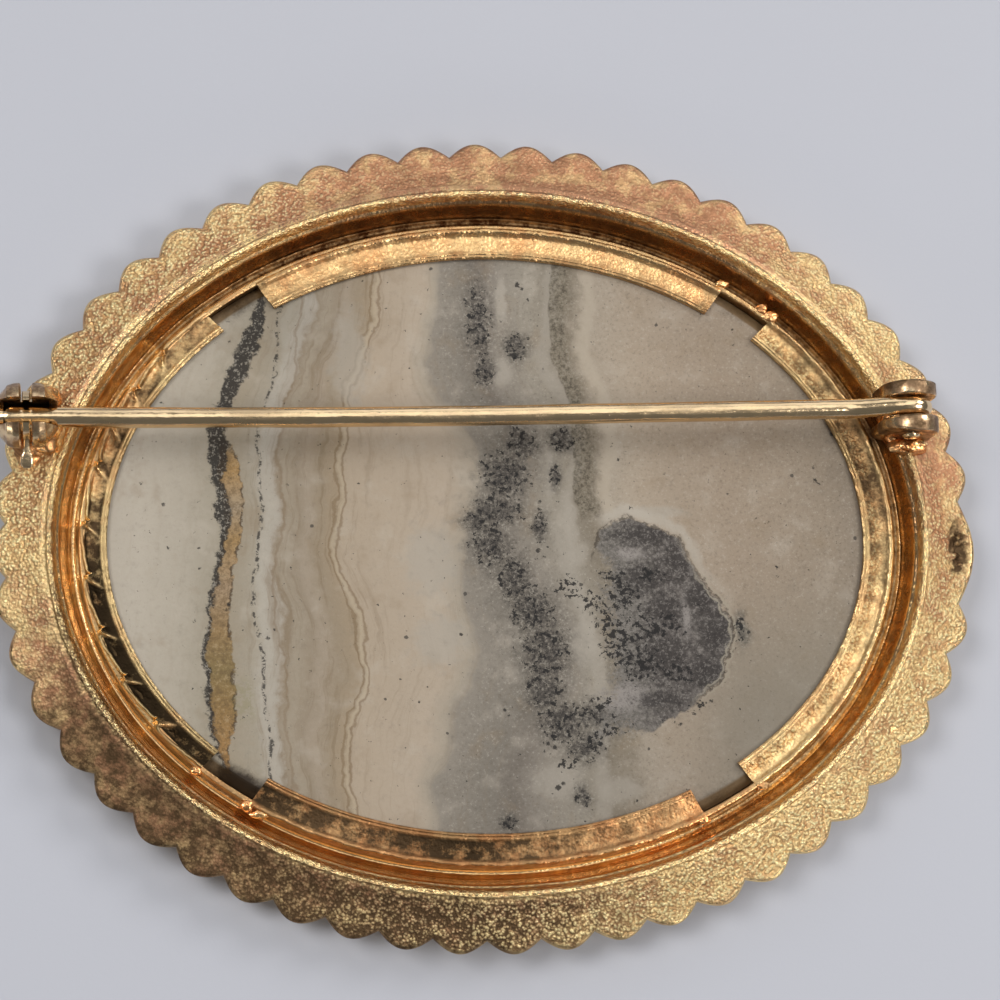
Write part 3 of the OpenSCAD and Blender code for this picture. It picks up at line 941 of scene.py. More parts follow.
def folded_tab(start, end, seed, wavy, grain_at, grain, further, rosy, edges, crimps=()):
    """One folded tab: its section carried from one angle to another and tapped hollow. Its ridge is wavy and,
    like its lip, `further` in over the stone. Its skin is beaded by `grain` round the inset `grain_at`, with
    painted glints on the beads, as coppery as `rosy` says, and tarnished at its ridge and its lip by the two
    `edges`."""
    sizes = settings()[0]
    section = eased(TAB_SECTION, 0.03)
    inset, height, hollow = section.T
    angles = np.linspace(start, end, round((end - start) / TAB_STEP) + 1)[:, None]
    upper = height > TOP_HIGH
    sideways = np.sin(angles * 0.9 + seed) * 0.5 + np.sin(angles * 2.3 + 2 * seed) * 0.3
    sideways = sideways + np.sin(angles * 5.1) * 0.2
    ridge = hump(inset - RIDGE_MIDDLE, 0.22) * (height > RIDGE_HIGH)
    lip = hump(inset - LIP_MIDDLE, 0.35)
    crease, pocket, notch, drift = creases(angles, inset, crimps, end)
    across = inset + wavy * sideways * ridge + np.interp(inset, (3.3, RIDGE_IN, 4.7), (0, *further))
    across = across + notch * ridge + drift * hump(inset - RIDGE_IN, 0.34) * (height > 1.4)
    ends = CURL * (hump(angles - start, 1.1) + hump(angles - end, 1.1))
    lift = ends * lip * upper - ends * ridge + 0.012 * np.sin(angles * 1.7 + seed) * upper
    raised = in_mm(sizes.crimp_height) * crease * hump(inset - 3.95, 0.6)
    lift = lift + (raised - POCKET_DEEP * pocket) * upper
    points = oval(angles, across, height + lift)
    dents = wave_sum(points, (0.6, 0.6, seed), (1.6, 1.8, seed + 1))
    worn = wave_sum(points, (0.6, 1.2, seed + 2), (0.5, 0.28, seed + 3))
    points[..., 2] += in_mm(sizes.hammer_depth) * (dents * hollow + worn * (1 - hollow)) * upper
    beads = grain * hollow * hump(inset - grain_at, GRAIN_SPREAD) * (1 - crease)
    clean = 0.8 * pocket * (angles < CLEAN_TO) + 0.9 * crease
    # Tarnish, partly painted shade where the tabs' column darkens the south-west side
    tarnish = aged(angles, TAB_AGE_AND_SHADE) + edges[0] * ridge + edges[1] * hump(inset - LIP_MIDDLE, 0.25)
    return tube_solid(
        points, grained=np.clip(beads, 0, 1), aged=tarnish * np.clip(1 - clean, 0, 1),
        hollow=np.clip(hollow * (1 - 0.9 * crease) + 0.5 * pocket, 0, 1),
        rosy=np.clip(rosy + 0.35 * pocket, 0, 1))


def lump(at, radii, seed, rings=14, steps=22):
    """A bead of metal that has flowed: an ellipsoid whose surface is moved in and out by a random field."""
    turn = np.linspace(0, math.pi, rings)
    profile = np.stack([-np.cos(turn), np.sin(turn)], 1)
    solid = turned_solid(profile, np.zeros(3), 2, steps)
    rough = 1 + 0.13 * waves(solid.points + seed, 1.6, seed) + 0.05 * waves(solid.points, 0.8, seed + 1)
    solid.points = np.asarray(at) + solid.points * np.asarray(radii) * rough[:, None]
    return solid


def solder_foot(name, at, lumps):
    """A foot of solder, its lumps placed from the axis of the hinge or the catch."""
    foot = joined([lump(at + np.array(offset), *row) for offset, *row in lumps])
    place(name, foot, "setting", "gold_frame", solder_metal())


# Beads of solder at the outer corners of the tabs: angle, inset, height, radii along X, Y and Z, seed
CORNER_BEADS = (
    (44.2, 3.50, 1.98, (0.42, 0.28, 0.17), 5),
    (46.0, 3.44, 1.84, (0.36, 0.30, 0.20), 6),
    (53.4, 3.48, 1.95, (0.40, 0.22, 0.16), 7),
    (232.4, 3.50, 2.00, (0.38, 0.26, 0.16), 8),
    (234.6, 3.44, 1.90, (0.46, 0.22, 0.15), 9),
    (223.2, 3.50, 1.93, (0.30, 0.24, 0.14), 10),
    (298.9, 3.52, 1.95, (0.30, 0.22, 0.13), 11),
    (309.2, 3.52, 1.96, (0.32, 0.24, 0.14), 12),
)


class BezelAndTabs(bpy.types.Operator):
    """Builds the bezel strip and the four tabs that fold over the stone, with the solder at their corners"""
    bl_idname = "brooch.bezel_and_tabs"
    bl_label = "Bezel and tabs"

    def execute(self, context):
        section = eased(STRIP_SECTION, 0.02)
        angles = (np.arange(720) / 2)[:, None]
        points = oval(angles, section[:, 0], section[:, 1])
        points[..., 2] += 0.008 * waves(points, 1.4, 21) * (section[:, 1] > 1.5)
        hollow = np.broadcast_to(section[:, 2], points.shape[:2])
        # The strip's tarnish follows the tabs' column, partly painted shade on the south-west side
        tarnish = np.broadcast_to(0.5 + 0.4 * aged(angles, TAB_AGE_AND_SHADE), points.shape[:2])
        solid = Solid(
            points, [grid_quads(*points.shape[:2])], hollow=hollow, aged=tarnish, grained=0.3 * hollow,
            rosy=np.full(points.shape[:2], 0.3))
        place("bezel_strip", solid, "setting", "gold_frame", gold_tabs())

        north, west, south, east = [
            (TAB_GAPS[k] + HALF_GAP, (TAB_GAPS[(k + 1) % 4] - TAB_GAPS[k]) % 360 + TAB_GAPS[k] - HALF_GAP)
            for k in range(4)]
        tabs = {
            "tab_north": folded_tab(*north, 31, 0.02, 4.30, 0.3, (0.25, 0.40), 0.30, (0.40, 0.65)),
            "tab_west": folded_tab(*west, 41, 0.03, 3.95, 0.5, (0.0, 0.0), 0.0, (0.30, 0.35), CRIMPS),
            "tab_south": folded_tab(*south, 51, 0.045, 4.25, 0.4, (0.0, 0.22), 0.60, (0.0, 0.25)),
            "tab_east": folded_tab(*east, 61, 0.02, 4.45, 1.0, (0.05, 0.2), 0.05, (0.30, 0.45))}
        for name, tab in tabs.items():
            place(name, tab, "setting", "gold_frame", gold_tabs())
        beads = joined([lump(oval(*where), radii, seed) for *where, radii, seed in CORNER_BEADS])
        place("corner_solder", beads, "setting", "gold_frame", solder_metal())
        return {"FINISHED"}


# The hinge

EAR_R = 1.4
EAR_FOOT = 2.05
# Thickness of the two ears and the space between them
EAR_UPPER, EAR_LOWER, EAR_SPACE = 0.70, 0.85, 1.0
# One head of the rivet: distance past the ear's face, radius
RIVET_R = 0.28
RIVET_HEAD = ((-0.02, RIVET_R), (0, 0.30), (0.02, 0.45), (0.08, 0.44), (0.16, 0.36), (0.20, 0.20), (0.20, 0))
# Lumps of solder under the ears: place from the hinge, radii along X, Y and Z, seed, rings, steps
HINGE_SOLDER = (
    ((0.15, 0.0, -1.9), (1.35, 1.75, 0.62), 81, 24, 40),
    ((0.25, -1.62, -1.55), (0.95, 0.50, 0.55), 83, 20, 32),
    ((0.40, -1.72, -1.15), (0.80, 0.30, 0.30), 85, 16, 28),
    ((-0.10, -1.78, -1.45), (0.70, 0.26, 0.26), 87, 16, 28),
    ((0.20, 1.35, -1.75), (1.15, 0.36, 0.42), 89, 18, 30),
)


def ear_outline(steps=28):
    """Outline of an ear across X and Z: upright sides and a round top, from the frame's foot up."""
    turn = np.linspace(0, math.pi, steps)
    top = EAR_R * np.stack([np.cos(turn), np.sin(turn)], 1)
    rise = np.linspace(0, 1, 8)[1:, None]
    down = np.array([0, EAR_FOOT - HINGE[2]])
    left = top[-1] + rise * down
    base = left[-1] + rise[:-1] * np.array([2 * EAR_R, 0])
    right = (top[0] + rise * down)[::-1]
    return np.concatenate([top, left, base, right])[:, ::-1]


def ears():
    """The two ears: the upper with a small rimmed pit in its top edge, the lower pinched thinner towards the
    pin's side and leaning a little outwards at its top."""
    low = EAR_SPACE / 2
    upper = plate_solid(ear_outline(), bevel_rows(low, low + EAR_UPPER, 0.09), HINGE, 1)
    away = np.linalg.norm(upper.points - (HINGE + [0.15, low + 0.34, EAR_R]), axis=1)
    upper.points[:, 2] += 0.03 * hump(away - 0.24, 0.07) - 0.10 * hump(away, 0.16)
    lower = plate_solid(ear_outline(), bevel_rows(-low - EAR_LOWER, -low, 0.14), HINGE, 1)
    x, y, z = lower.points.T
    rise, west = rising(z, HINGE[2], EAR_R), rising(-x, -HINGE[0], EAR_R)
    outer = y < HINGE[1] - low - EAR_LOWER / 2
    lower.points[:, 1] += np.where(outer, 0.34 * west * west, -0.12 * west * west * rise) - 0.05 * rise
    for ear, seed in ((upper, 71), (lower, 75)):
        ear.points += 0.018 * waves(ear.points, 1.1, seed)[:, None] * [0.4, 0.4, 1.0]
    both = joined([upper, lower])
    both.values = {"worn": np.clip(0.55 + 0.3 * waves(both.points, 1.1, 79), 0.2, 1)}
    return both


class Hinge(bpy.types.Operator):
    """Builds the two ears of the hinge on their solder foot, and the rivet through them"""
    bl_idname = "brooch.hinge"
    bl_label = "Hinge"

    def execute(self, context):
        place("hinge_ears", ears(), "setting", "gold_frame", gold_findings(), crease=35)
        solder_foot("hinge_solder", HINGE, HINGE_SOLDER)
        head = np.array(RIVET_HEAD)
        lower = head[::-1] * [-1, 1] - [EAR_SPACE / 2 + EAR_LOWER, 0]
        upper = head + [EAR_SPACE / 2 + EAR_UPPER, 0]
        rivet = turned_solid(np.concatenate([lower, upper]), HINGE, 1, 32)
        place("rivet", rivet, "setting", "gold_findings", gold_findings(), ["hinge_rivet"])
        return {"FINISHED"}


# The pin

STEM_R = 0.5
# The drawn point: its length, its radius at the tip and the power of its taper
POINT_L, TIP_R, TAPER = 1.8, 0.07, 0.85
# Columns: distance from the hinge axis along the stem, sideways bend as a share of the whole
BEND = ((0, 0.0), (4, 0.05), (12, 0.45), (22, 0.95), (30, 1.0), (38, 0.75), (46, 0.2), (50, 0.0))
# The wire's eye: its radius round the rivet, half its height and half its width, and the angle of its cut end
EYE_R, EYE_THICK, EYE_WIDE, EYE_END = 0.76, 0.385, 0.45, -160
# How far from the hinge the wire starts to rise to the eye, and to be pressed flat for it
RISE_L, PRESS_FROM, PRESS_L = 3.4, 4.0, 3.4
CLOSE_STEPS_FROM = 3.9
# Stations along the point, the stem, the rise and the eye
PIN_STEPS = (40, 260, 60, 90)
WIRE_STEPS = 40


def pin_line():
    """The wire's middle line across X and Z from the hinge: straight from the point, an eased rise, then
    round the rivet from its top to the east, the bottom and the west."""
    length = HINGE[0] - box_of("pin_stem")[0][0]
    tip, stem, up, eye = PIN_STEPS
    run = np.concatenate([
        length - POINT_L * (1 - np.linspace(1, 0.01, tip) ** 0.9),
        np.linspace(length - POINT_L, CLOSE_STEPS_FROM, stem)[1:],
        np.linspace(CLOSE_STEPS_FROM, 0.0, up)[1:]])
    rise = np.clip(1 - run / RISE_L, 0, 1)
    turn = np.radians(np.linspace(90, EYE_END, eye)[1:])
    x = np.concatenate([-run, EYE_R * np.cos(turn)])
    return x, np.concatenate([EYE_R * rise * rise * (3 - 2 * rise), EYE_R * np.sin(turn)])


def round_end(share):
    """Height of a quarter circle over a share of its width from its rim."""
    return np.sqrt(1 - (1 - np.clip(share, 0, 1)) ** 2)


def pin_section(run, away):
    """Half height and half width of the wire along its run: drawn out to the point, round along the stem, and
    a lower and narrower oval round the rivet. `away` is the distance from the hinge."""
    left = np.clip(run / POINT_L, 0, 1)
    drawn = np.where(left < 1, TIP_R + (STEM_R - TIP_R) * left ** TAPER, STEM_R)
    end = round_end(run / 0.08) * (0.6 + 0.4 * round_end((run[-1] - run) / 0.15))
    pressed = np.clip((PRESS_FROM - away) / PRESS_L, 0, 1)
    return [np.maximum(np.maximum(drawn * (1 - pressed) + half * pressed, 0.004) * end, 0.002)[:, None]
            for half in (EYE_THICK, EYE_WIDE)]


class Pin(bpy.types.Operator):
    """Builds the pin: a wire with a point, a stem that use has bent, and an eye wound round the rivet"""
    bl_idname = "brooch.pin"
    bl_label = "Pin"

    def execute(self, context):
        x, z = pin_line()
        away = np.maximum(-x, 0)
        distance, share = np.array(BEND).T
        side = -in_mm(settings()[0].stem_bend) * np.interp(away, distance, share)
        centre = HINGE + np.stack([x, side, z], 1)
        way = np.gradient(centre[:, [0, 2]], axis=0)
        way /= np.linalg.norm(way, axis=1, keepdims=True)
        run = walked(centre)
        thick, wide = pin_section(run, away)
        around = full_turn(WIRE_STEPS)
        # A wire that was drawn and bent is a hair off round
        wander = 1 + 0.012 * np.sin(run * 0.9)[:, None] * np.cos(2 * around)
        up, across = thick * np.sin(around) * wander, wide * np.cos(around) * wander
        points = centre[:, None] + np.stack([-way[:, 1:] * up, across, way[:, :1] * up], -1)
        place("pin", tube_solid(points), "pin", "gold_findings", gold_findings(), ["pin_stem"])
        return {"FINISHED"}


# The catch

SLOT_HALF = 0.27
# Half the way for the stem in the rotor, and how much wider it is in the ball
STEM_WAY, MOUTH_PLAY = 0.56, 0.06
HUB_R, HUB_HALF, DISC_R, DISC_HALF = 0.79, 1.08, 1.19, 0.19
# Section of one half of the ball: distance from the slot's middle, radius, spacing
HALF_SECTION = (
    (SLOT_HALF, 1.28, 0.10), (SLOT_HALF, 1.50, 0.05), (0.33, 1.585, 0.04), (0.62, 1.56, 0.06),
    (0.93, 1.45, 0.05), (0.98, 1.34, 0.04), (1.24, 1.06, 0.06), (1.46, 0.74, 0.06), (1.50, 0.66, 0.05),
    (1.46, 0.64, 0.06), (1.20, 0.64, 0.10), (1.17, 0.87, 0.12), (SLOT_HALF, 0.87, 0.15),
)

# The bar that joins the halves of the ball: distance from the slot's middle, radius
BRIDGE = ((-0.5, 0), (-0.5, 0.5), (-0.42, 0.62), (0.42, 0.62), (0.5, 0.5), (0.5, 0))
# Lumps of solder under the ball: place from the catch's axis, radii, seed, rings, steps
CATCH_SOLDER = (
    ((0.35, -0.35, -1.95), (1.25, 1.30, 0.75), 91, 24, 40),
    ((1.05, 1.15, -1.35), (0.62, 0.55, 0.62), 93, 20, 30),
    ((0.85, -1.05, -1.60), (0.75, 0.55, 0.45), 95, 20, 30),
    ((0.10, -1.55, -1.95), (0.70, 0.55, 0.35), 97, 18, 28),
)


def ball_half(side):
    """Half of the catch's ball: its section turned about the stem, from one side of the way for the pin to
    the other. The way has straight sides, so each radius starts at its own angle."""
    section = eased(HALF_SECTION, 0.03)
    along, radius = side * section[:, 0], section[:, 1]
    start = np.arcsin(np.clip((STEM_WAY + MOUTH_PLAY) / radius, 0, 0.999))
    share = np.linspace(0, 1, 90)[:, None]
    turn = start + share * (TURN - 2 * start)
    points = np.stack([np.broadcast_to(along, turn.shape), radius * np.sin(turn), radius * np.cos(turn)], -1)
    return tube_solid(points + CATCH)


def slotted_outline(radius, steps=44):
    """Outline across Y and Z of a disc that is cut from its top to its middle for the stem."""
    start = math.asin(STEM_WAY / radius)
    outer = np.linspace(start, TURN - start, steps)
    rim = radius * np.stack([np.sin(outer), np.cos(outer)], 1)
    down = np.linspace(1, 0, 7)[1:, None] * np.array([0, radius * math.cos(start)])
    inner = np.linspace(-math.pi / 2, math.pi / 2, 20)[1:-1]
    cup = STEM_WAY * np.stack([np.sin(inner), -np.cos(inner)], 1)
    return np.concatenate([rim, down + [-STEM_WAY, 0], cup, down[::-1] + [STEM_WAY, 0]])


class Catch(bpy.types.Operator):
    """Builds the safety catch: the two halves of its ball on a soldered foot, and the rotor with its lever"""
    bl_idname = "brooch.catch"
    bl_label = "Catch"

    def execute(self, context):
        halves = [ball_half(side) for side in (-1, 1)]
        bridge = turned_solid(BRIDGE, CATCH + [0, 0, -1.46], 0, 24)
        ball = joined([*halves, bridge])
        ball.values = {"worn": np.full(len(ball.points), 0.35)}
        place("catch_ball", ball, "setting", "gold_frame", gold_findings(), crease=35)
        solder_foot("catch_solder", CATCH, CATCH_SOLDER)
        hub = plate_solid(slotted_outline(HUB_R), bevel_rows(-HUB_HALF, HUB_HALF, 0.07), CATCH, 0)
        disc = plate_solid(slotted_outline(DISC_R, 60), bevel_rows(-DISC_HALF, DISC_HALF, 0.05), CATCH, 0)
        place(
            "catch_rotor_turned", joined([hub, disc, lever()]), "rotor", "gold_findings", gold_findings(),
            ["catch_rotor"], crease=35)
        return {"FINISHED"}


LEVER_L = 2.53
LEVER_DIP = math.radians(12)
# Columns: distance from the axis, half width, half thickness
LEVER_ROWS = (
    (0.80, 0.16, 0.15), (1.45, 0.17, 0.15), (1.78, 0.20, 0.16), (1.90, 0.28, 0.17), (2.05, 0.305, 0.175),
    (2.30, 0.305, 0.175), (2.45, 0.27, 0.15), (LEVER_L, 0.16, 0.09),
)


def lever():
    """The lever of the rotor: rounded oblongs along a straight line that dips below the horizontal."""
    away, wide, thick = np.array(LEVER_ROWS).T
    fine = np.linspace(away[0], away[-1], 40)
    wide, thick = np.interp(fine, away, wide), np.interp(fine, away, thick)
    turn = full_turn(28)
    # A rounded oblong: the signed square roots of the sine and cosine
    square = np.stack([np.cos(turn), np.sin(turn)], 1)
    square = np.sign(square) * np.abs(square) ** 0.45
    x = wide[:, None] * square[:, 0]
    up = thick[:, None] * square[:, 1]
    reach = np.broadcast_to(fine[:, None], x.shape)
    y = -reach * math.cos(LEVER_DIP) + up * math.sin(LEVER_DIP)
    z = -reach * math.sin(LEVER_DIP) - up * math.cos(LEVER_DIP)
    return tube_solid(np.stack([x, y, z], -1) + CATCH)


# The stone. A line runs down it: its columns are the place across, X, and along, Y

VEIN = (
    (-10.7, 12.6), (-11.1, 10.8), (-11.5, 9.8), (-12.1, 8.4), (-12.8, 7.1), (-13.0, 5.1), (-13.2, 3.4),
    (-12.9, 2.2), (-12.7, 1.3), (-12.9, 0.3), (-13.2, -0.5), (-13.3, -1.8), (-13.6, -2.4), (-13.5, -3.5),
    (-13.8, -5.0), (-13.9, -6.5), (-13.8, -7.9), (-13.7, -8.9), (-13.4, -10.1), (-12.9, -11.6))
STAIN = (
    (-12.7, 5.6), (-12.4, 4.6), (-11.9, 3.6), (-11.8, 2.0), (-11.9, 1.0), (-12.3, -0.2), (-12.5, -1.9),
    (-12.7, -3.4), (-12.65, -4.9), (-12.45, -6.8), (-12.4, -8.3), (-12.8, -10.2), (-12.9, -11.6))
DOTS = (
    (-9.8, 12.5), (-10.1, 9.3), (-10.4, 8.0), (-10.7, 7.1), (-11.2, 5.0), (-10.9, 2.4), (-11.1, -0.2),
    (-11.6, -1.8), (-11.4, -4.8), (-10.9, -6.2), (-11.0, -8.4), (-10.8, -12.0))
TAN = (
    (-5.0, 13.7), (-5.0, 11.4), (-5.7, 9.9), (-6.1, 8.7), (-6.6, 7.0), (-7.0, 4.7), (-7.3, 3.8),
    (-7.0, 2.1), (-7.5, -0.2), (-7.5, -1.5), (-6.9, -2.2), (-6.4, -3.4), (-6.1, -5.5), (-6.2, -7.5),
    (-6.8, -8.5), (-7.1, -10.0), (-7.1, -11.5), (-6.8, -13.2))
GREY = (
    (-1.8, 13.7), (-2.0, 12.2), (-2.5, 10.0), (-2.7, 8.3), (-2.0, 7.0), (-0.4, 5.5), (0.1, 4.0),
    (-0.1, 2.5), (-0.8, 0.4), (-1.2, -1.6), (-1.3, -3.2), (-0.8, -5.2), (-0.6, -6.5), (-1.7, -8.0),
    (-2.3, -9.0), (-1.9, -10.4), (-3.1, -11.7), (-3.0, -13.3))
DARK = (
    (0.2, 13.7), (0.3, 11.0), (0.1, 9.1), (1.0, 7.0), (2.0, 5.4), (1.6, 3.9), (1.3, 2.9), (0.8, 1.9),
    (0.6, 0.4), (0.8, -0.7), (1.8, -1.9), (2.5, -2.8), (3.1, -4.2), (3.5, -6.1), (3.4, -7.8), (2.4, -9.6),
    (1.2, -11.6), (1.4, -14.0))
LIGHT = (
    (4.0, 13.7), (3.9, 12.6), (3.5, 10.5), (3.2, 8.8), (4.2, 7.5), (5.0, 4.9), (4.8, 3.6), (4.1, 1.8),
    (3.8, -0.2), (4.4, -2.2), (5.1, -4.2), (5.5, -5.7))
OLIVE = (
    (4.5, 13.4), (4.2, 10.6), (4.3, 9.0), (4.9, 7.7), (5.4, 5.4), (5.3, 4.2), (5.1, 2.6), (5.2, 1.6),
    (5.9, 0.6), (6.4, -2.0), (6.4, -14.0))
WHITE_EDGE = (
    (5.8, 13.7), (5.7, 12.1), (5.65, 11.4), (5.3, 9.0), (6.4, 7.5), (6.65, 5.4), (6.3, 3.9), (6.0, 1.8),
    (6.6, 1.0))
NODULE = (
    (5.9, 0.4), (7.2, 1.1), (8.8, 0.4), (9.8, 0.0), (10.3, -0.9), (10.8, -2.1), (11.8, -3.5), (12.2, -4.3),
    (12.2, -5.8), (11.6, -7.2), (10.1, -8.5), (8.7, -9.4), (7.2, -10.3), (5.4, -11.0), (4.1, -10.6),
    (4.7, -8.2), (5.5, -6.2), (5.2, -4.2), (5.0, -2.7), (5.6, -1.1))
# Clouds in the stone: columns are the middle across and along, and the half width and half height
MOSS_CLOUDS = (
    (0.1, 11.2, 0.8, 2.3), (0.4, 8.6, 0.6, 0.9), (2.0, 9.8, 0.8, 0.85), (2.0, 4.9, 1.1, 1.0),
    (4.2, 5.1, 0.9, 0.8), (1.2, 3.2, 1.4, 1.5), (3.6, 3.2, 0.4, 0.8), (-0.4, 1.0, 0.9, 0.7),
    (0.7, 1.5, 1.5, 1.1), (0.3, -0.3, 1.2, 1.4), (2.9, 0.6, 0.5, 0.9), (1.4, -2.0, 1.1, 1.5),
    (2.3, -3.6, 1.3, 1.5), (2.9, -5.6, 1.5, 1.9), (2.7, -7.6, 1.2, 1.5), (3.6, -9.2, 1.3, 1.3),
    (5.0, -8.9, 1.4, 0.8), (4.7, -10.4, 1.1, 0.9), (4.4, -12.8, 0.6, 0.7), (12.8, -4.8, 0.55, 0.95),
    (0.7, -14.0, 0.6, 0.45))
# Darker clouds inside the nodule, and its pale patches
HEART_CLOUDS = (
    (7.9, -2.1, 1.5, 0.9), (8.6, -6.0, 1.5, 1.4), (10.9, -3.0, 0.8, 1.1), (11.5, -4.9, 0.9, 1.3),
    (10.8, -6.8, 1.1, 0.9), (8.0, 0.1, 1.9, 0.7), (9.6, -1.2, 0.8, 0.9), (8.5, -8.2, 1.3, 0.5),
    (9.0, -3.6, 1.0, 1.0), (12.6, -4.8, 0.5, 0.8))
# Where black grains crowd in the nodule and beside it
GRAIN_CLOUDS = (
    (4.2, -2.5, 0.9, 0.6), (5.2, -3.2, 0.9, 0.7), (6.2, -4.4, 1.1, 1.0), (6.6, -5.7, 1.0, 1.1),
    (7.4, -6.6, 1.0, 0.9), (5.5, -8.4, 0.8, 0.7), (4.9, -10.1, 0.9, 0.8), (6.0, -9.6, 0.9, 0.5),
    (3.9, -11.2, 0.7, 0.5), (8.8, -4.4, 1.2, 0.9), (12.7, -4.8, 0.5, 0.9), (10.4, -8.5, 1.0, 0.3),
    (6.9, -3.0, 1.3, 1.0), (7.4, -4.8, 1.5, 1.4), (7.8, -6.4, 1.3, 1.2), (9.4, -6.8, 1.0, 0.8),
    (6.3, -2.0, 0.8, 0.6), (8.2, -1.9, 1.0, 0.6))
PALE_CLOUDS = (
    (1.3, 12.3, 0.3, 1.5), (1.3, 8.6, 0.5, 0.9), (3.4, 3.3, 0.3, 1.6), (4.4, 0.6, 0.4, 1.8),
    (4.7, -0.8, 0.7, 0.7), (4.8, -5.2, 0.6, 1.4), (5.5, -7.7, 0.7, 0.6), (8.7, 1.3, 1.9, 0.35),
    (3.2, -12.1, 1.5, 1.0), (10.0, -4.0, 0.25, 0.9), (7.3, -0.8, 0.7, 0.35), (6.7, -8.0, 1.6, 0.7),
    (5.4, -5.0, 0.7, 1.0), (-2.7, -1.0, 1.5, 2.0), (-2.4, -5.0, 1.5, 1.5), (-6.4, 9.2, 1.0, 3.0),
    (6.3, -12.6, 1.0, 0.8))
# Broad patches that are lighter or darker than their band, the stone's own patches with painted shade that
# darkens the lower right: middle, half sizes, share
TONE_AND_SHADE = (
    (-17.0, 1.0, 3.0, 7.0, 0.03), (-10.0, 11.5, 2.5, 2.6, -0.13), (-11.2, -0.5, 1.0, 8.0, 0.04),
    (13.0, -10.0, 6.0, 5.5, -0.11), (8.0, -13.0, 4.0, 3.0, -0.12), (14.5, 2.5, 4.0, 3.5, 0.05),
    (7.6, 3.0, 1.2, 5.0, 0.07), (0.3, 12.0, 2.5, 2.6, 0.14), (-1.6, -12.5, 2.6, 2.0, -0.04),
    (2.0, -12.5, 2.0, 2.0, -0.08), (-4.0, 3.0, 3.0, 5.0, 0.03))
# Specks: place across and along, radius
SPECKS = (
    (2.2, 13.1, 0.15), (2.4, 12.9, 0.10), (2.7, 12.3, 0.10), (1.3, 11.2, 0.10), (1.9, 9.4, 0.17),
    (2.2, 9.3, 0.11), (1.6, 9.9, 0.09), (5.0, 9.8, 0.07), (5.1, 9.3, 0.07), (4.7, 9.4, 0.07),
    (2.2, 3.0, 0.13), (2.5, 2.8, 0.09), (-0.2, 0.9, 0.14), (0.1, 0.7, 0.13), (-0.4, 1.2, 0.09),
    (2.7, -0.6, 0.13), (3.0, -0.9, 0.12), (2.6, -1.0, 0.10), (3.2, -0.4, 0.08), (2.9, 1.9, 0.12),
    (2.8, 1.5, 0.10), (3.0, 0.4, 0.11), (3.1, 2.4, 0.09), (6.1, 1.8, 0.09), (6.7, 4.8, 0.08),
    (7.0, 4.0, 0.10), (12.5, 2.2, 0.08), (2.8, -10.2, 0.16), (3.1, -10.4, 0.14), (2.6, -10.6, 0.11),
    (0.7, -8.5, 0.12), (0.9, -8.8, 0.10), (0.5, -4.6, 0.11), (3.2, -12.4, 0.15), (3.5, -12.2, 0.11),
    (13.2, -4.9, 0.12), (11.1, -8.3, 0.12), (10.8, -8.4, 0.10), (10.2, -8.9, 0.12), (9.9, -8.8, 0.09),
    (9.5, -9.4, 0.12), (9.2, -9.3, 0.08), (8.2, -9.9, 0.10), (10.8, 10.7, 0.07), (17.0, 3.5, 0.11),
    (17.1, 2.8, 0.13), (17.3, 2.6, 0.08), (18.2, 0.6, 0.10), (18.4, 0.8, 0.07), (-12.7, -3.0, 0.12),
    (-14.1, -1.2, 0.10), (-14.4, -3.8, 0.09), (-16.9, 3.1, 0.10), (-15.8, 2.0, 0.10), (-16.7, 1.7, 0.10),
    (-16.9, 1.3, 0.07), (-15.6, -0.2, 0.08), (-14.1, -0.2, 0.10), (-13.9, 1.6, 0.09), (-12.4, 10.2, 0.10),
    (-11.9, 12.3, 0.08), (-8.8, -6.4, 0.08), (-9.1, 5.0, 0.07), (-9.7, 2.9, 0.09), (-10.8, -4.7, 0.13),
    (-11.2, -4.5, 0.09), (-10.5, -4.3, 0.09), (-1.3, -4.7, 0.10))


def line_x(line, y):
    """Where a line runs across the stone, at each place along it: the mean of its places a little further on
    and a little before, which rounds its corners."""
    across, along = np.array(line)[::-1].T
    return np.mean([np.interp(y + step, along, across) for step in (-0.9, -0.45, 0.0, 0.45, 0.9)], axis=0)


def clouds(x, y, table):
    """Soft clouds: at each point, the highest of a table's round hills."""
    hills = [hump(np.hypot((x - px) / wide, (y - py) / high), 1.0) for px, py, wide, high in table]
    return np.max(hills, axis=0)


def inside_outline(x, y, outline):
    """Distance from a closed outline, counted as more than nothing inside it. A point is inside where a line
    from it towards +X crosses the outline an odd number of times."""
    away, within = np.full(len(x), np.inf), np.zeros(len(x), bool)
    for (ax, ay), (bx, by) in zip(outline, outline[1:] + outline[:1]):
        way = np.array([bx - ax, by - ay])
        share = np.clip(((x - ax) * way[0] + (y - ay) * way[1]) / (way @ way), 0, 1)
        away = np.minimum(away, np.hypot(x - ax - share * way[0], y - ay - share * way[1]))
        crosses = ((ay > y) != (by > y)) & (x < (bx - ax) * (y - ay) / (by - ay + 1e-12) + ax)
        within ^= crosses
    return np.where(within, away, -away)


# How grimed and shaded the stone's rim is in each gap between the tabs: partly the setting's dirt, partly
# painted shade between the stone and the wall, most in the south-west gap
GAP_GRIME_AND_SHADE = (0.35, 0.55, 1.0, 0.35)


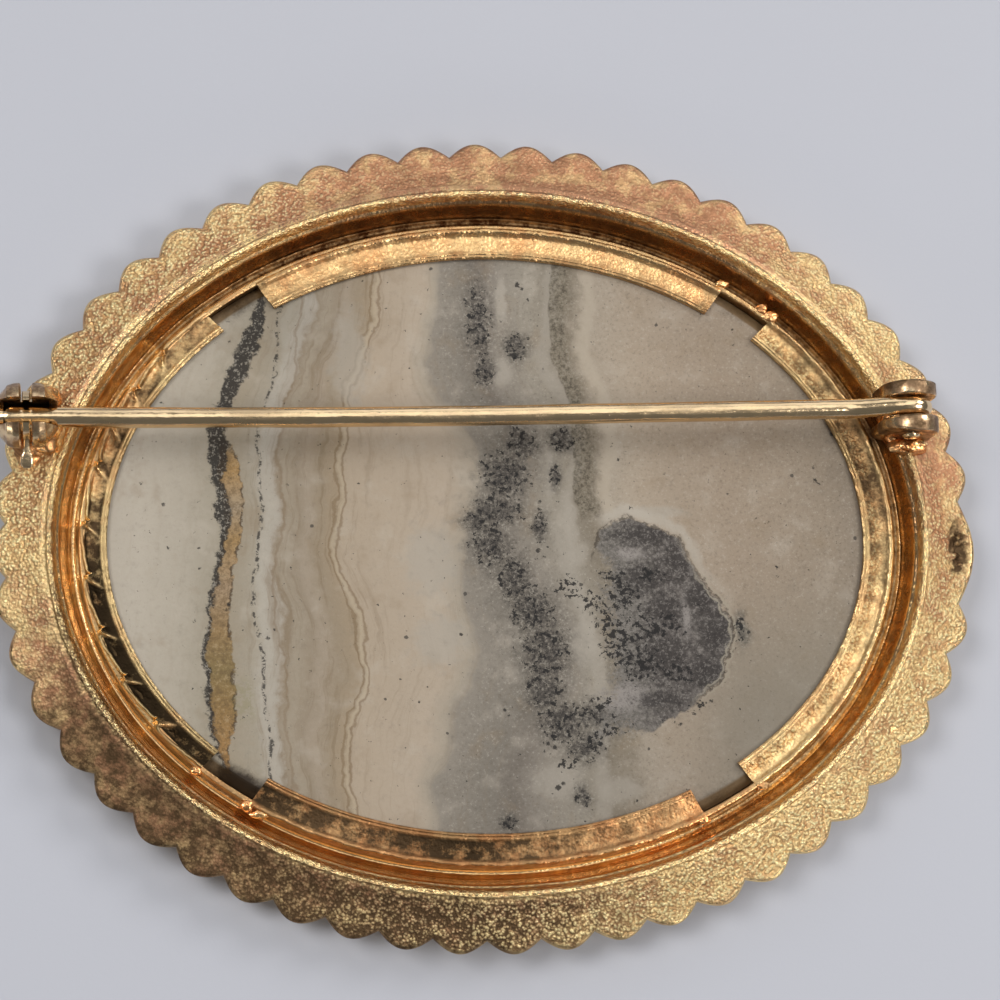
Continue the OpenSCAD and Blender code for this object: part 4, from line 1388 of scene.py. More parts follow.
def grime_and_shade_in_gaps(points):
    """Dirt of the setting and painted shade where the setting leaves the stone's rim open: a hill round each
    gap's angle, from just inside the line of the lips outwards."""
    x, y = points[:, 0] - MIDDLE[0], points[:, 1] - MIDDLE[1]
    angles = np.degrees(np.arctan2(y / HALF_W, x / HALF_L))
    out = np.hypot(x / (HALF_L - LIP_IN), y / (HALF_W - LIP_IN))
    gaps = sum(share * hump(turn_between(angles, gap), 5.5) for gap, share in zip(TAB_GAPS, GAP_GRIME_AND_SHADE))
    return gaps * np.clip((out - 0.985) / 0.04, 0, 1)


def stone_values(points):
    """Fields that the stone's colours follow. `band` is 0 at the left edge and grows by one at each of the
    vein, the tan line, the grey edge, the dark line and the olive line. A line's field is the distance to its
    right, a cloud's is its height, and `nodule` and `specks` are the depth inside the nodule or a speck."""
    wander = wave_sum(points, (0.10, 2.6, 101), (0.05, 0.8, 102))
    x, y = points[:, 0] + wander, points[:, 1]
    lines = [np.full(len(x), -20.5)] + [line_x(line, y) for line in (VEIN, TAN, GREY, DARK, OLIVE)]
    lines.append(np.full(len(x), 20.5))
    band = sum(np.clip((x - a) / np.maximum(b - a, 0.3), 0, 1) for a, b in zip(lines, lines[1:]))
    specks = np.max([r - np.hypot(points[:, 0] - px, y - py) for px, py, r in SPECKS], axis=0)
    # Broad lighter and darker patches; the darkening towards the lower right is painted shade
    tone_and_shade = 1 + sum(share * clouds(x, y, [place]) for *place, share in TONE_AND_SHADE)
    return {
        "band": band, "vein": x - lines[1], "stain": x - line_x(STAIN, y), "dots": x - line_x(DOTS, y),
        "tan": x - lines[2], "light": x - line_x(LIGHT, y), "olive": x - lines[5],
        "white": x - line_x(WHITE_EDGE, y), "moss": clouds(x, y, MOSS_CLOUDS),
        "heart": clouds(x, y, HEART_CLOUDS), "pale": clouds(x, y, PALE_CLOUDS),
        "grains": clouds(x, y, GRAIN_CLOUDS), "nodule": inside_outline(x, y, NODULE), "specks": specks,
        "tone_and_shade": tone_and_shade, "grime_and_shade": grime_and_shade_in_gaps(points)}


# Bands across the stone: place along `band`, colour. A whole number is one of the lines above
BANDS = (
    (0.00, 178, 168, 154), (0.45, 184, 175, 161), (0.80, 174, 165, 150), (0.99, 160, 151, 134),
    (1.03, 158, 146, 126), (1.18, 158, 147, 129), (1.30, 162, 153, 137), (1.36, 172, 164, 151),
    (1.46, 168, 159, 146), (1.50, 148, 134, 115), (1.56, 160, 148, 130), (1.66, 150, 136, 117),
    (1.74, 161, 147, 129), (1.84, 152, 137, 116), (1.94, 158, 141, 118), (2.00, 164, 148, 125),
    (2.05, 174, 158, 138), (2.75, 178, 163, 145), (2.95, 165, 154, 138), (3.08, 142, 134, 123),
    (3.60, 128, 121, 111), (3.97, 120, 112, 103), (4.12, 136, 128, 118), (4.60, 152, 144, 131),
    (4.92, 134, 124, 109), (5.03, 142, 131, 115), (5.09, 168, 156, 140), (5.22, 168, 153, 135),
    (5.45, 158, 142, 124), (5.80, 150, 136, 119), (6.00, 136, 124, 110))
BAND_COUNT = 6
# How strong the brown streaks are: place along `band` as a share of the whole, strength
STREAKS = ((0.0, 0.1), (0.16, 0.2), (0.24, 0.9), (0.33, 1.0), (0.38, 0.35), (0.55, 0.3), (1.0, 0.1))
# The stain from its lower to its upper end: place, display colour
OCHRES = (
    (0.0, 166, 124, 72), (0.18, 142, 112, 66), (0.30, 128, 108, 66), (0.42, 146, 118, 78),
    (0.55, 160, 136, 108), (0.70, 160, 128, 82), (0.80, 158, 140, 116), (0.92, 168, 132, 80),
    (1.0, 150, 124, 88))
# Half width of the black vein up the stone: place, millimetres
VEIN_WIDTHS = (
    (0.0, 0.03), (0.1, 0.06), (0.25, 0.13), (0.33, 0.07), (0.44, 0.10), (0.52, 0.18), (0.56, 0.28),
    (0.62, 0.20), (0.68, 0.44), (0.76, 0.36), (0.86, 0.52), (0.97, 0.2))
# Loose specks: cells in a millimetre, the share of cells that hold one, and its largest radius in cells
SPECK_CELLS, SPECK_SHARE, SPECK_SIZE = 0.9, 0.38, 0.075
STONE_FIELDS = (
    "band", "vein", "stain", "dots", "tan", "light", "olive", "white", "moss", "heart", "pale", "nodule",
    "specks", "tone_and_shade", "grains", "grime_and_shade")


class StoneColours(Nodes):
    """The stone's node tree: the mesh's fields, the noises that break up their edges, and the colour so far.
    Colours are display colours, and `up` is the place along the stone."""

    def __init__(self, tree):
        super().__init__(tree)
        self.where = self.in_millimetres()
        self.up = self.put("SeparateXYZ", {"Vector": self.where}).outputs["Y"]
        self.field = dict(zip(STONE_FIELDS, self.attributes(*STONE_FIELDS)))
        self.fine = self.noise(self.where, 1.7, 5.0, 0.62)
        self.grit = self.noise(self.where, 6.5, 3.0, 0.75)
        self.crumb = self.noise(self.where, 2.9, 5.0, 0.78)
        self.colour = None

    def laid(self, over, mask, strength, colour):
        """A colour laid over another by a mask and a strength."""
        colour = paint(*colour) if isinstance(colour, tuple) else colour
        return self.mix(self.times(mask, strength), over, colour)

    def lay(self, mask, strength, colour):
        """Lays a colour over the colour so far."""
        self.colour = self.laid(self.colour, mask, strength, colour)

    def mottle(self, noise, low, high, first, second):
        """Two colours, mixed by a noise."""
        return self.mix(self.span(noise, low, high), paint(*first), paint(*second))

    def bands(self):
        """The bands, pushed about by fine noise so that their edges feather, streaked and clouded."""
        band = self.field["band"]
        pushed = self.math("DIVIDE", self.shifted(band, self.fine, 0.04), BAND_COUNT)
        self.colour = self.ramp(pushed, [(at / BAND_COUNT, paint(*colour)) for at, *colour in BANDS])
        stretched = self.put("CombineXYZ", {"X": self.times(band, 9.0), "Y": self.times(self.up, 0.10)})
        streaks = self.patches(stretched.outputs[0], (1.6, 4.0, 0.7), 0.50, 0.66)
        strength = self.graph(self.math("DIVIDE", band, BAND_COUNT), STREAKS)
        self.lay(self.times(streaks, strength), 0.45, (124, 105, 80))
        blot = self.noise(self.where, 0.55, 3.0, 0.6)
        self.lay(self.span(blot, 0.52, 0.72), 0.30, (190, 180, 166))
        self.lay(self.span(blot, 0.46, 0.28), 0.26, (140, 120, 94))

    def thin_lines(self):
        """The tan line, white between two brown ones, and a faint brown and a pale line past the dots."""
        tan = self.shifted(self.field["tan"], self.fine, 0.10)
        dots = self.shifted(self.field["dots"], self.fine, 0.12)
        for field, at, half, soft, strength, colour in (
                (tan, 0.0, 0.02, 0.12, 0.45, (190, 174, 150)), (tan, -0.22, 0.02, 0.08, 0.50, (116, 92, 62)),
                (tan, 0.18, 0.02, 0.08, 0.50, (116, 92, 62)), (dots, 1.02, 0.02, 0.10, 0.45, (128, 108, 84)),
                (dots, 0.42, 0.1, 0.22, 0.30, (178, 172, 160))):
            self.lay(self.near(self.minus(field, at), half, soft), strength, colour)

    def grains(self):
        """White grains and grey grit, strongest in the grey parts."""
        right = self.span(self.field["band"], 3.0, 3.25)
        self.lay(self.span(self.grit, 0.55, 0.70), self.scaled(right, 0.20, 0.08), (205, 198, 186))
        self.lay(self.span(self.grit, 0.46, 0.32), self.scaled(right, 0.20, 0.07), (84, 74, 62))

    def pale_parts(self):
        """The pale lines and clouds."""
        light = self.near(self.shifted(self.field["light"], self.fine, 0.2), 0.10, 0.5)
        self.lay(light, 0.55, (168, 160, 148))
        white = self.near(self.shifted(self.field["white"], self.fine, 0.15), 0.10, 0.45)
        self.lay(self.times(white, self.span(self.up, 0.6, 1.6)), 0.75, (180, 168, 151))
        cloudy = self.span(self.shifted(self.field["pale"], self.fine, 0.25), 0.2, 0.8)
        self.lay(self.times(cloudy, self.span(self.field["nodule"], 0.4, -0.1)), 0.6, (172, 164, 152))

    def moss(self):
        """The moss, a soft smudge with grains that crowd together in its clouds, the olive band above the
        nodule, sharp on its left, and the right of the stone, greyer further down."""
        moss, olive = self.field["moss"], self.field["olive"]
        sandy = self.mottle(self.grit, 0.38, 0.62, (76, 71, 66), (120, 113, 103))
        self.lay(self.span(self.shifted(moss, self.fine, 0.3), 0.0, 0.9), 0.80, sandy)
        peppery = self.mottle(self.grit, 0.38, 0.62, (46, 43, 41), (88, 82, 77))
        self.lay(self.span(self.shifted(moss, self.crumb, 0.5, 0.3), 0.55, 1.05), 0.80, peppery)
        whites = self.times(self.span(self.grit, 0.58, 0.63), self.span(moss, 0.1, 0.5))
        self.lay(whites, 0.35, (172, 166, 154))
        belt = self.times(self.span(olive, -0.62, -0.50), self.span(olive, 0.7, 0.1))
        belt = self.times(belt, self.span(self.up, 0.6, 1.6))
        speckled = self.mottle(self.grit, 0.38, 0.62, (82, 74, 62), (134, 125, 109))
        self.lay(belt, self.span(self.crumb, 0.38, 0.60, 0.45, 0.90), speckled)
        greyer = self.times(self.span(self.field["band"], 5.15, 5.5), self.span(self.up, -1.0, -9.0))
        self.lay(greyer, 0.60, (138, 132, 119))

    def nodule(self):
        """The nodule: smoky grey with darker clouds, its top and right rim sharp, its left side fading out,
        ringed by pale and dark lines and a pale halo above it."""
        band, crumb = self.field["band"], self.crumb
        rough = self.shifted(self.shifted(self.field["nodule"], self.fine, 0.16), crumb, 0.05)
        west = self.times(self.span(band, 5.14, 4.98), self.span(self.up, -0.4, -1.6))
        fading = self.minus(rough, self.times(west, self.span(crumb, 0.38, 0.62, 0.0, 0.8)))
        inside = self.span(fading, -0.06, self.scaled(west, 1.1, 0.08))
        smoke = self.mottle(self.fine, 0.38, 0.60, (70, 65, 63), (108, 102, 98))
        for mask, strength, colour in (
                (self.span(self.shifted(band, crumb, 0.12), 5.20, 5.02), 0.50, (134, 129, 121)),
                (self.span(self.shifted(self.field["pale"], crumb, 0.40), 0.10, 0.8), 0.80, (154, 147, 142)),
                (self.span(self.shifted(self.field["heart"], crumb, 0.55), 0.15, 0.85), 0.85, (50, 46, 46)),
                (self.span(self.grit, 0.53, 0.62), 0.40, (156, 150, 144)),
                (self.span(self.grit, 0.47, 0.38), 0.38, (34, 31, 31))):
            smoke = self.laid(smoke, mask, strength, colour)
        self.lay(inside, 0.96, smoke)
        east = self.span(band, 5.22, 5.36)
        for depth, strength in ((0.12, 0.75), (-0.20, 0.55)):
            line = self.near(self.minus(rough, depth), 0.01, 0.09)
            self.lay(self.times(line, east), strength, (164, 155, 138))
        rim = self.math("MAXIMUM", east, self.span(self.up, -1.6, -0.4))
        line = self.times(self.near(self.plus(rough, 0.05), 0.02, 0.09), self.span(crumb, 0.40, 0.52))
        self.lay(self.times(line, rim), 0.75, (62, 54, 46))
        halo = self.times(self.near(self.plus(rough, 0.40), 0.08, 0.34), self.span(band, 4.98, 5.06))
        self.lay(self.times(halo, self.span(self.up, -3.5, -0.5)), 0.62, (182, 174, 162))

    def stain(self):
        """The ochre stain between the vein and its own brown edge, and a greener patch low in it."""
        fine, crumb, field = self.fine, self.crumb, self.field["stain"]
        wavering = self.shifted(self.shifted(field, fine, 0.18), crumb, 0.08)
        filled = self.times(self.span(wavering, 0.05, -0.06), self.span(self.field["vein"], -0.05, 0.1))
        filled = self.times(filled, self.span(self.up, 5.4, 4.4))
        height = self.span(self.up, -11.0, 5.0, smooth=False)
        ochre = self.ramp(height, [(at, paint(*colour)) for at, *colour in OCHRES])
        ochre = self.laid(ochre, self.span(crumb, 0.49, 0.57), 0.50, (98, 76, 46))
        ochre = self.laid(ochre, self.span(crumb, 0.46, 0.40), 0.45, (178, 156, 120))
        ochre = self.laid(ochre, self.span(self.grit, 0.54, 0.62), 0.35, (72, 56, 38))
        self.lay(filled, 0.92, ochre)
        edge = self.times(self.near(self.plus(wavering, 0.02), 0.02, 0.07), self.span(self.up, 5.2, 4.6))
        self.lay(self.times(edge, self.span(fine, 0.42, 0.56)), 0.8, (70, 54, 38))
        low = self.near(self.plus(self.up, 7.7), 0.4, 1.1)
        green = self.times(self.near(self.minus(field, 0.4), 0.2, 0.6), low)
        self.lay(self.times(green, self.span(crumb, 0.42, 0.56)), 0.35, (132, 126, 84))

    def vein(self):
        """The black vein, broad and mottled above the pin and a ragged line below it, and the row of dots."""
        width = self.graph(self.span(self.up, -13.0, 13.0, smooth=False), VEIN_WIDTHS)
        ragged = self.shifted(self.shifted(self.field["vein"], self.fine, 0.20), self.crumb, 0.15)
        black = self.span(self.minus(self.math("ABSOLUTE", ragged), width), 0.10, -0.06)
        self.lay(black, 0.92, self.mottle(self.grit, 0.53, 0.62, (36, 32, 30), (138, 132, 122)))
        row = self.near(self.shifted(self.field["dots"], self.fine, 0.08), 0.03, 0.10)
        self.lay(self.times(row, self.span(self.crumb, 0.48, 0.53)), 0.85, (40, 37, 35))

    def loose_specks(self):
        """Mask of small specks: cells of a random net, of which only a share hold a speck at their middle,
        its rim made ragged by a noise."""
        flat = self.in_millimetres((1, 1, 0.01))
        cells = self.put("TexVoronoi", {"Vector": flat, "Scale": SPECK_CELLS}).outputs
        chance = self.put("SeparateColor", {"Color": cells["Color"]}).outputs
        radius = self.scaled(chance[1], SPECK_SIZE, SPECK_SIZE * 0.35)
        inside = self.shifted(self.minus(radius, cells["Distance"]), self.fine, SPECK_SIZE, 0.3)
        held = self.math("LESS_THAN", chance[0], SPECK_SHARE)
        return self.times(held, self.span(inside, 0.0, SPECK_SIZE * 0.35))

    def specks(self):
        """Specks: the larger ones by their place, small loose ones, and black grains that crowd in places."""
        spot = self.shifted(self.shifted(self.field["specks"], self.crumb, 0.09), self.grit, 0.05)
        self.lay(self.span(spot, 0.0, 0.05), 0.88, (42, 39, 37))
        self.lay(self.loose_specks(), 0.8, (66, 62, 58))
        mossy = self.span(self.field["moss"], 0.15, 0.7, 0.0, 0.75)
        crowded = self.math("MAXIMUM", self.span(self.field["grains"], 0.1, 0.9), mossy)
        seeds = self.scaled(crowded, 0.19, self.noise(self.where, 3.6, 3.0, 0.7))
        self.lay(self.span(seeds, 0.68, 0.73), 0.92, (30, 28, 28))

    def grime_and_shade(self):
        """The broad lighter and darker patches, partly painted shade towards the lower right, and the dirt of
        the setting on the bevel and in the gaps, with painted shade there as well.
        """
        # Broad patches multiplied in: partly painted shade, darker towards the lower right
        tone_and_shade = self.put("CombineXYZ", {axis: self.field["tone_and_shade"] for axis in "XYZ"}).outputs[0]
        self.colour = self.mix(1.0, self.colour, tone_and_shade, blend="MULTIPLY")
        height = self.put("SeparateXYZ", {"Vector": self.where}).outputs["Z"]
        # The bevel: the setting's dirt, with painted shade on the rim down in the setting
        self.lay(self.span(height, STONE_HIGH[2] - 0.01, STONE_HIGH[2] - 0.10), 0.8, (112, 86, 52))
        # The gaps between the tabs: the setting's dirt, with painted shade between the stone and the wall
        self.lay(self.span(self.shifted(self.field["grime_and_shade"], self.crumb, 0.2), 0.1, 0.9), 0.95, (40, 29, 19))


def banded_stone():
    """Honed banded stone: cream, beige and grey bands that follow the mesh's fields, moss, a dark nodule, an
    ochre stain, a black vein and specks, on a matt face."""
    material, _, shader = new_material("banded_stone", 0.48)
    shader["Specular IOR Level"].default_value = 0.2
    stone = StoneColours(material.node_tree)
    # The order in which they are laid over each other
    for layer in (stone.bands, stone.thin_lines, stone.grains, stone.pale_parts, stone.moss, stone.nodule,
                  stone.stain, stone.vein, stone.specks, stone.grime_and_shade):
        layer()
    stone.give(shader["Base Color"], stone.colour)
    stone.give(shader["Roughness"], stone.span(stone.grit, 0.4, 0.7, 0.40, 0.60))
    bump(stone, shader, stone.scaled(stone.grit, 0.6, stone.fine), 0.012)
    return material


# The stone's shape: cells along one side of its square grid, and the rows of its bevel and edge, each a
# distance out from the face and down from its top
STONE_STEPS = 300
BEVEL_ROWS = ((0.012, 0.006), (0.40, 0.26), (0.60, 0.38), (0.63, 0.42))


def stone_solid():
    """The stone. Its flat face is a square grid bent into an oval: each way is shortened by the other, so
    that the square's sides fall on the ellipse. The bevel, the edge and the base follow its outline."""
    side = np.linspace(-1, 1, STONE_STEPS + 1)
    a, b = np.meshgrid(side, side, indexing="ij")
    u, v = a * np.sqrt(1 - b * b / 2), b * np.sqrt(1 - a * a / 2)
    face = (STONE_HIGH - STONE_LOW)[:2] / 2 - (BEVEL_IN - STONE_IN)
    top = np.stack([MIDDLE[0] + face[0] * u, MIDDLE[1] + face[1] * v, np.full(u.shape, STONE_HIGH[2])], -1)
    number = np.arange(u.size).reshape(u.shape)
    rim = np.concatenate([number[:-1, 0], number[-1, :-1], number[:0:-1, -1], number[0, :0:-1]])
    around = np.stack([u.ravel()[rim], v.ravel()[rim]], 1)
    rows = [(out, STONE_HIGH[2] - down) for out, down in BEVEL_ROWS] + [(BEVEL_ROWS[-1][0], STONE_LOW[2])]
    rings = [np.column_stack([MIDDLE[:2] + (face + out) * around, np.full(len(rim), z)]) for out, z in rows]
    count, size = u.size, len(rim)
    ring = count + np.arange(size)
    first = np.stack([rim, np.roll(rim, -1), np.roll(ring, -1), ring], 1)
    walls = grid_quads(len(rings), size, closed_rings=False) + count
    base = (ring + (len(rings) - 1) * size)[None]
    cells = grid_quads(*u.shape, closed_rings=False, closed_size=False)
    points = np.concatenate([top.reshape(-1, 3), *rings])
    return Solid(points, [cells, first, walls, base], **stone_values(points))


class Stone(bpy.types.Operator):
    """Builds the stone plaque: a flat honed oval with a bevelled edge"""
    bl_idname = "brooch.stone"
    bl_label = "Stone"

    def execute(self, context):
        place("stone", stone_solid(), "setting", "stone", banded_stone(), ["stone_plaque"], crease=30)
        return {"FINISHED"}


# The mosaic on the face, which lies against the floor. Its picture is a plain traditional posy of daisies

IVORY, SLATE, BROWN = (0.72, 0.66, 0.52), (0.10, 0.12, 0.14), (0.30, 0.11, 0.07)
BLUE, LEAF, MOSS = (0.10, 0.22, 0.42), (0.14, 0.26, 0.10), (0.30, 0.38, 0.16)
ROSE, OCHRE, WHITE = (0.58, 0.20, 0.18), (0.70, 0.46, 0.12), (0.82, 0.80, 0.74)
# Daisies: place across and along, radius, colour of the petals
DAISIES = (
    (0.0, 1.2, 3.6, WHITE), (-5.6, -0.6, 2.9, ROSE), (5.6, -0.6, 2.9, BLUE), (-2.9, 5.2, 2.3, BLUE),
    (2.9, 5.2, 2.3, ROSE), (-3.2, -4.4, 2.2, WHITE), (3.2, -4.4, 2.2, WHITE))
LEAVES = (
    (-9.4, 2.6, 150), (9.4, 2.6, 30), (-7.2, 5.4, 120), (7.2, 5.4, 60), (0.0, -7.6, 270), (-6.6, -5.6, 220),
    (6.6, -5.6, 320), (0.0, 8.2, 90))


def mosaic_colour(x, y, ring, rng):
    """Colour of each tessera: border rows by their ring, daisies by the distance and angle from their middle,
    leaves as pointed ovals along their angle, and ivory between them."""
    colour = np.tile(np.array(IVORY), (len(x), 1))
    for px, py, angle in LEAVES:
        turn = math.radians(angle)
        along = (x - px) * math.cos(turn) + (y - py) * math.sin(turn)
        across = np.abs(-(x - px) * math.sin(turn) + (y - py) * math.cos(turn))
        inside = across < 0.85 * (1 - (along / 2.3) ** 2)
        colour[inside] = LEAF
        colour[inside & (across < 0.25)] = MOSS
    for px, py, radius, petal in DAISIES:
        away, turn = np.hypot(x - px, y - py), np.arctan2(y - py, x - px)
        petals = away < radius * (0.80 + 0.20 * np.cos(8 * turn))
        colour[petals] = petal
        colour[petals & (away < radius * 0.32)] = OCHRE
        colour[petals & (np.abs(np.sin(4 * turn)) < 0.10) & (away > radius * 0.4)] = np.array(petal) * 0.55
    colour[ring == 0] = SLATE
    colour[ring == 1] = IVORY
    colour[ring == 2] = np.where((np.arange((ring == 2).sum()) % 3 == 0)[:, None], OCHRE, BROWN)
    colour[ring == 3] = IVORY
    return np.clip(colour * rng.normal(1, 0.09, (len(x), 1)) + rng.normal(0, 0.008, (len(x), 3)), 0.01, 1)


def tessera_places(width):
    """Places of the tesserae: closed oval rows from the edge inwards, each filled evenly along its length.
    Columns: across, along, the row's angle there, the row's number."""
    half = (PANEL_HIGH - PANEL_LOW)[:2] / 2 - width / 2
    t = np.linspace(0, TURN, 720)
    places = []
    for ring in range(math.ceil(half[1] / width - 0.25)):
        a, b = half - ring * width
        run = walked(np.stack([a * np.cos(t), b * np.sin(t)], 1))
        count = max(3, round(run[-1] / width))
        at = np.interp((np.arange(count) + 0.5 * (ring % 2)) / count * run[-1], run, t)
        way = np.arctan2(b * np.cos(at), -a * np.sin(at))
        places.append(np.stack([a * np.cos(at), b * np.sin(at), way, np.full(count, ring)], 1))
    return np.concatenate(places)


# A block's three rows of corners, back, shoulder and face: size, height over the panel's front
BLOCK_ROWS = ((1.0, 0.22), (1.0, 0.05), (0.82, 0.012))
BLOCK_CORNERS = ((-1, -1), (1, -1), (1, 1), (-1, 1))


def tesserae():
    """Small bevelled blocks laid in oval rows, each turned along its row, with a random size, height and
    tilt. Each is closed: a back, four sides, four slopes and a face."""
    rng = np.random.default_rng(7)
    width = in_mm(settings()[0].tessera)
    x, y, turn, ring = tessera_places(width).T
    count = len(x)
    colour = mosaic_colour(x, y, ring, rng)
    wide = width / 2 * rng.uniform(0.80, 0.93, (count, 2))
    cos, sin = np.cos(turn)[:, None], np.sin(turn)[:, None]
    corners = np.zeros((count, 3, 4, 3))
    for k, (size, high) in enumerate(BLOCK_ROWS):
        local = np.array(BLOCK_CORNERS)[None] * wide[:, None] * size
        local = local + rng.normal(0, 0.012, local.shape)
        corners[:, k, :, 0] = MIDDLE[0] + x[:, None] + local[..., 0] * cos - local[..., 1] * sin
        corners[:, k, :, 1] = MIDDLE[1] + y[:, None] + local[..., 0] * sin + local[..., 1] * cos
        corners[:, k, :, 2] = PANEL_LOW[2] + high + (k > 0) * rng.uniform(0, 0.02, (count, 1))
    block = np.concatenate([[(3, 2, 1, 0)], grid_quads(3, 4, closed_rings=False), [(8, 9, 10, 11)]])
    faces = (block[None] + 12 * np.arange(count)[:, None, None]).reshape(-1, 4)
    red, green, blue = np.repeat(colour, 12, axis=0).T
    return Solid(corners, [faces], red=red, green=green, blue=blue)


def mosaic_glass():
    """Matt coloured glass: each block's own colour, slightly clouded, with a worn half-polished face."""
    material, nodes, shader = new_material("mosaic_glass", 0.35)
    where = nodes.in_millimetres()
    own = dict(zip(("Red", "Green", "Blue"), nodes.attributes("red", "green", "blue")))
    mixed = nodes.put("CombineColor", own).outputs[0]
    cloud = nodes.noise(where, 3.0, 4.0, 0.6)
    clouded = nodes.mix(nodes.span(cloud, 0.4, 0.8, 0.0, 0.3), mixed, (0.5, 0.47, 0.42))
    nodes.give(shader["Base Color"], clouded)
    nodes.give(shader["Roughness"], nodes.span(cloud, 0.35, 0.65, 0.26, 0.5))
    bump(nodes, shader, nodes.noise(where, 9.0, 3.0, 0.6), 0.01)
    return material


def mosaic_bed():
    """Grey-brown cement between the tesserae, gritty and dull."""
    material, nodes, shader = new_material("mosaic_cement", 0.85)
    where = nodes.in_millimetres()
    grit = nodes.noise(where, 6.0, 5.0, 0.7)
    nodes.give(shader["Base Color"], nodes.mix(grit, (0.16, 0.13, 0.10), (0.34, 0.30, 0.25)))
    bump(nodes, shader, grit, 0.03)
    return material


class Mosaic(bpy.types.Operator):
    """Builds the mosaic on the stone's face: a bed of cement and the tesserae in oval rows"""
    bl_idname = "brooch.mosaic"
    bl_label = "Mosaic"

    def execute(self, context):
        half = (PANEL_HIGH - PANEL_LOW)[:2] / 2
        rows = ((0.12, PANEL_LOW[2] + 0.10), (0.0, PANEL_LOW[2] + 0.16), (0.0, PANEL_HIGH[2]))
        turn = full_turn(180)
        around = np.stack([np.cos(turn), np.sin(turn)], 1)
        loops = [
            np.column_stack([MIDDLE[:2] + (half - inset) * around, np.full(len(turn), z)])
            for inset, z in rows]
        place("mosaic_bed", tube_solid(np.array(loops)), "setting", "mosaic", mosaic_bed(), ["mosaic_panel"])
        place("mosaic_tesserae", tesserae(), "setting", "mosaic", mosaic_glass(), crease=20)
        return {"FINISHED"}


# The stage

# Lights: way towards the light, distance, width and height in metres, brightness, colour
LIGHTS = {
    "north window": ((0.06, 0.86, 0.50), 0.75, 1.15, 0.42, 0.92, (0.97, 0.98, 1.0)),
    "west lamp": ((-0.54, 0.20, 0.82), 0.55, 0.20, 0.22, 9.0, (1.0, 0.98, 0.95)),
    "east lamp": ((0.66, 0.40, 0.63), 0.55, 0.18, 0.20, 8.0, (1.0, 0.98, 0.95)),
    "right lamp": ((0.56, -0.28, 0.78), 0.55, 0.20, 0.20, 9.0, (1.0, 0.98, 0.95)),
    "ceiling": ((0.14, 0.30, 0.94), 0.75, 0.34, 0.60, 1.20, (1.0, 0.99, 0.97)),
    "low left lamp": ((-0.64, -0.70, 0.32), 0.55, 0.20, 0.12, 3.0, (1.0, 0.98, 0.95)),
    "low right lamp": ((0.60, -0.74, 0.30), 0.55, 0.20, 0.12, 3.0, (1.0, 0.98, 0.95)),
}
# Where the camera looks, from the middle of the brooch in millimetres, and half the floor's side in metres
AIM = (0.37, 1.96, 2.0)
FLOOR_HALF = 0.9
# Width of the camera's sensor in millimetres, the nearest and farthest that it sees in metres, and the
# colour of the room
SENSOR, CLIP, ROOM = 36, (0.005, 10), (0.92, 0.96, 1.0, 1)


def soft_light(name, way, distance, width, height, brightness, colour):
    """An area light that faces the brooch. Its power is its brightness times its area and pi."""
    lamp = bpy.data.lights.new(name, "AREA")
    lamp.shape, lamp.size, lamp.size_y = "RECTANGLE", width, height
    lamp.color = colour
    lamp.energy = brightness * width * height * math.pi
    light = bpy.data.objects.new(name, lamp)
    towards = Vector(way).normalized()
    light.location = towards * distance
    light.rotation_mode = "QUATERNION"
    light.rotation_quaternion = towards.to_track_quat("Z", "Y")
    bpy.context.scene.collection.objects.link(light)


def camera_turn(stage):
    """The way from the aim to the camera, and the camera's turn: its own right, up and backwards ways."""
    level = math.sin(stage.tilt)
    back = Vector((level * math.sin(stage.turn), -level * math.cos(stage.turn), math.cos(stage.tilt)))
    right = Vector((0, 1, 0)).cross(back).normalized()
    up = back.cross(right)
    cos, sin = math.cos(stage.roll), math.sin(stage.roll)
    return back, Matrix((cos * right + sin * up, -sin * right + cos * up, back)).transposed()


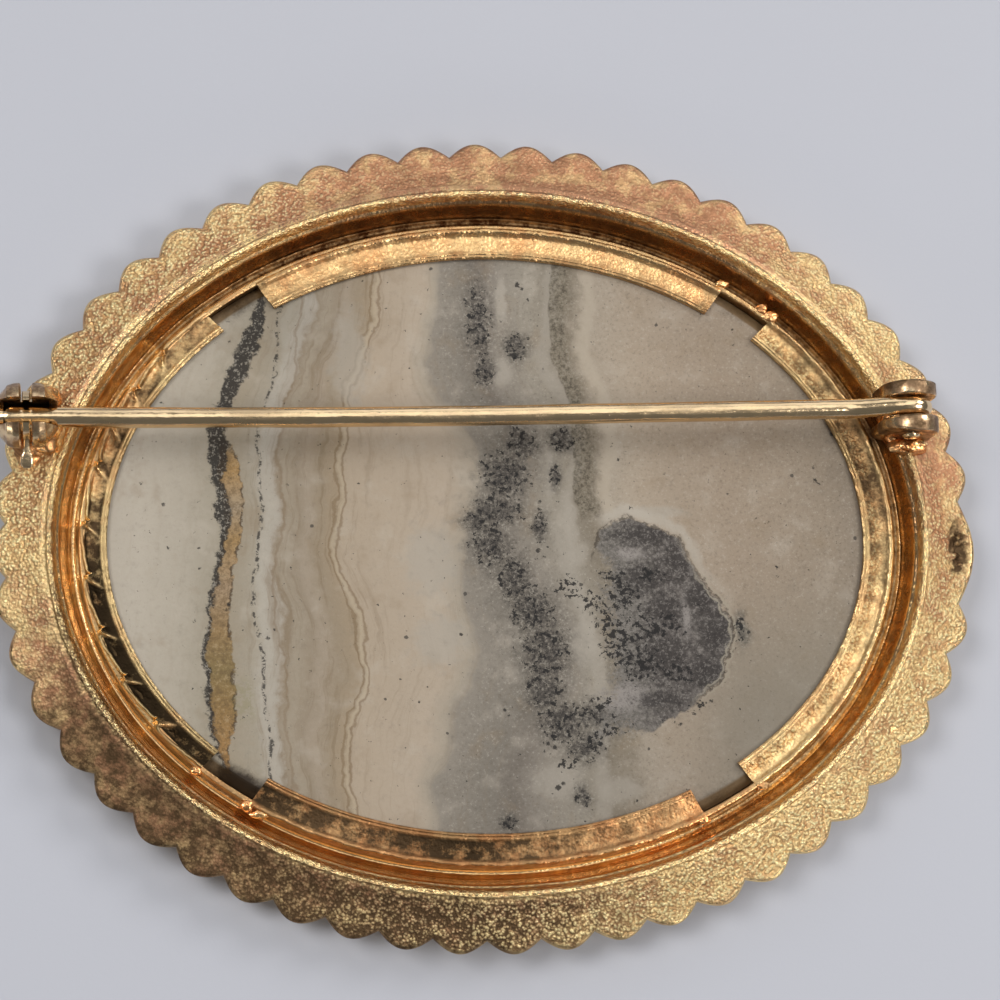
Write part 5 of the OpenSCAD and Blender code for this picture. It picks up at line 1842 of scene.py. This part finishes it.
class Stage(bpy.types.Operator):
    """Sets the pale floor, the soft lights and the camera"""
    bl_idname = "brooch.stage"
    bl_label = "Stage"

    def execute(self, context):
        _, finish, stage = settings()
        scene = context.scene
        mesh = bpy.data.meshes.new("floor")
        corners = [(x * FLOOR_HALF, y * FLOOR_HALF, 0) for x, y in BLOCK_CORNERS]
        mesh.from_pydata(corners, [], [(0, 1, 2, 3)])
        floor = bpy.data.objects.new("floor", mesh)
        scene.collection.objects.link(floor)
        material, nodes, shader = new_material("pale_floor", 0.55)
        where = nodes.in_millimetres()
        soft = nodes.noise(where, 0.05, 3.0, 0.5)
        darker = tuple(c * 0.96 for c in finish.floor)
        nodes.give(shader["Base Color"], nodes.mix(soft, darker, finish.floor))
        bump(nodes, shader, nodes.noise(where, 4.0, 3.0, 0.6), 0.004)
        mesh.materials.append(material)

        for name, light in LIGHTS.items():
            soft_light(name, *light)
        world = bpy.data.worlds.new("room")
        world.use_nodes = True
        ground = world.node_tree.nodes["Background"]
        ground.inputs["Color"].default_value = ROOM
        ground.inputs["Strength"].default_value = stage.sky
        scene.world = world

        camera = bpy.data.cameras.new("camera")
        camera.lens, camera.sensor_width = stage.lens, SENSOR
        camera.clip_start, camera.clip_end = CLIP
        viewer = bpy.data.objects.new("camera", camera)
        scene.collection.objects.link(viewer)
        back, turned = camera_turn(stage)
        aim = Vector((AIM[0] + MIDDLE[0], AIM[1] + MIDDLE[1], AIM[2])) * MM
        viewer.matrix_world = Matrix.Translation(aim + back * stage.distance) @ turned.to_4x4()
        scene.camera = viewer
        scene.view_settings.view_transform = "Standard"
        scene.view_settings.look = "None"
        return {"FINISHED"}


STEPS = (CastFrame, BezelAndTabs, Hinge, Pin, Catch, Stone, Mosaic, Stage)


class BroochPanel(bpy.types.Panel):
    """Lists the steps and the settings in the sidebar"""
    bl_idname = "VIEW3D_PT_brooch"
    bl_label = "Oval brooch"
    bl_space_type = "VIEW_3D"
    bl_region_type = "UI"
    bl_category = "Brooch"

    def draw(self, context):
        for group in settings():
            for name in group.bl_rna.properties.keys():
                if name not in ("rna_type", "name"):
                    self.layout.prop(group, name)
        for step in STEPS:
            self.layout.operator(step.bl_idname)


GROUPS = {"brooch_sizes": BroochSizes, "brooch_finish": BroochFinish, "brooch_stage": BroochStage}
CLASSES = (*GROUPS.values(), *STEPS, BroochPanel)


def register():
    for cls in CLASSES:
        bpy.utils.register_class(cls)
    for name, group in GROUPS.items():
        setattr(bpy.types.Scene, name, bpy.props.PointerProperty(type=group))


def unregister():
    for name in GROUPS:
        delattr(bpy.types.Scene, name)
    for cls in reversed(CLASSES):
        bpy.utils.unregister_class(cls)


def main():
    register()
    bpy.ops.brooch.cast_frame()
    bpy.ops.brooch.bezel_and_tabs()
    bpy.ops.brooch.hinge()
    bpy.ops.brooch.pin()
    bpy.ops.brooch.catch()
    bpy.ops.brooch.stone()
    bpy.ops.brooch.mosaic()
    bpy.ops.brooch.stage()


if __name__ == "__main__":
    main()
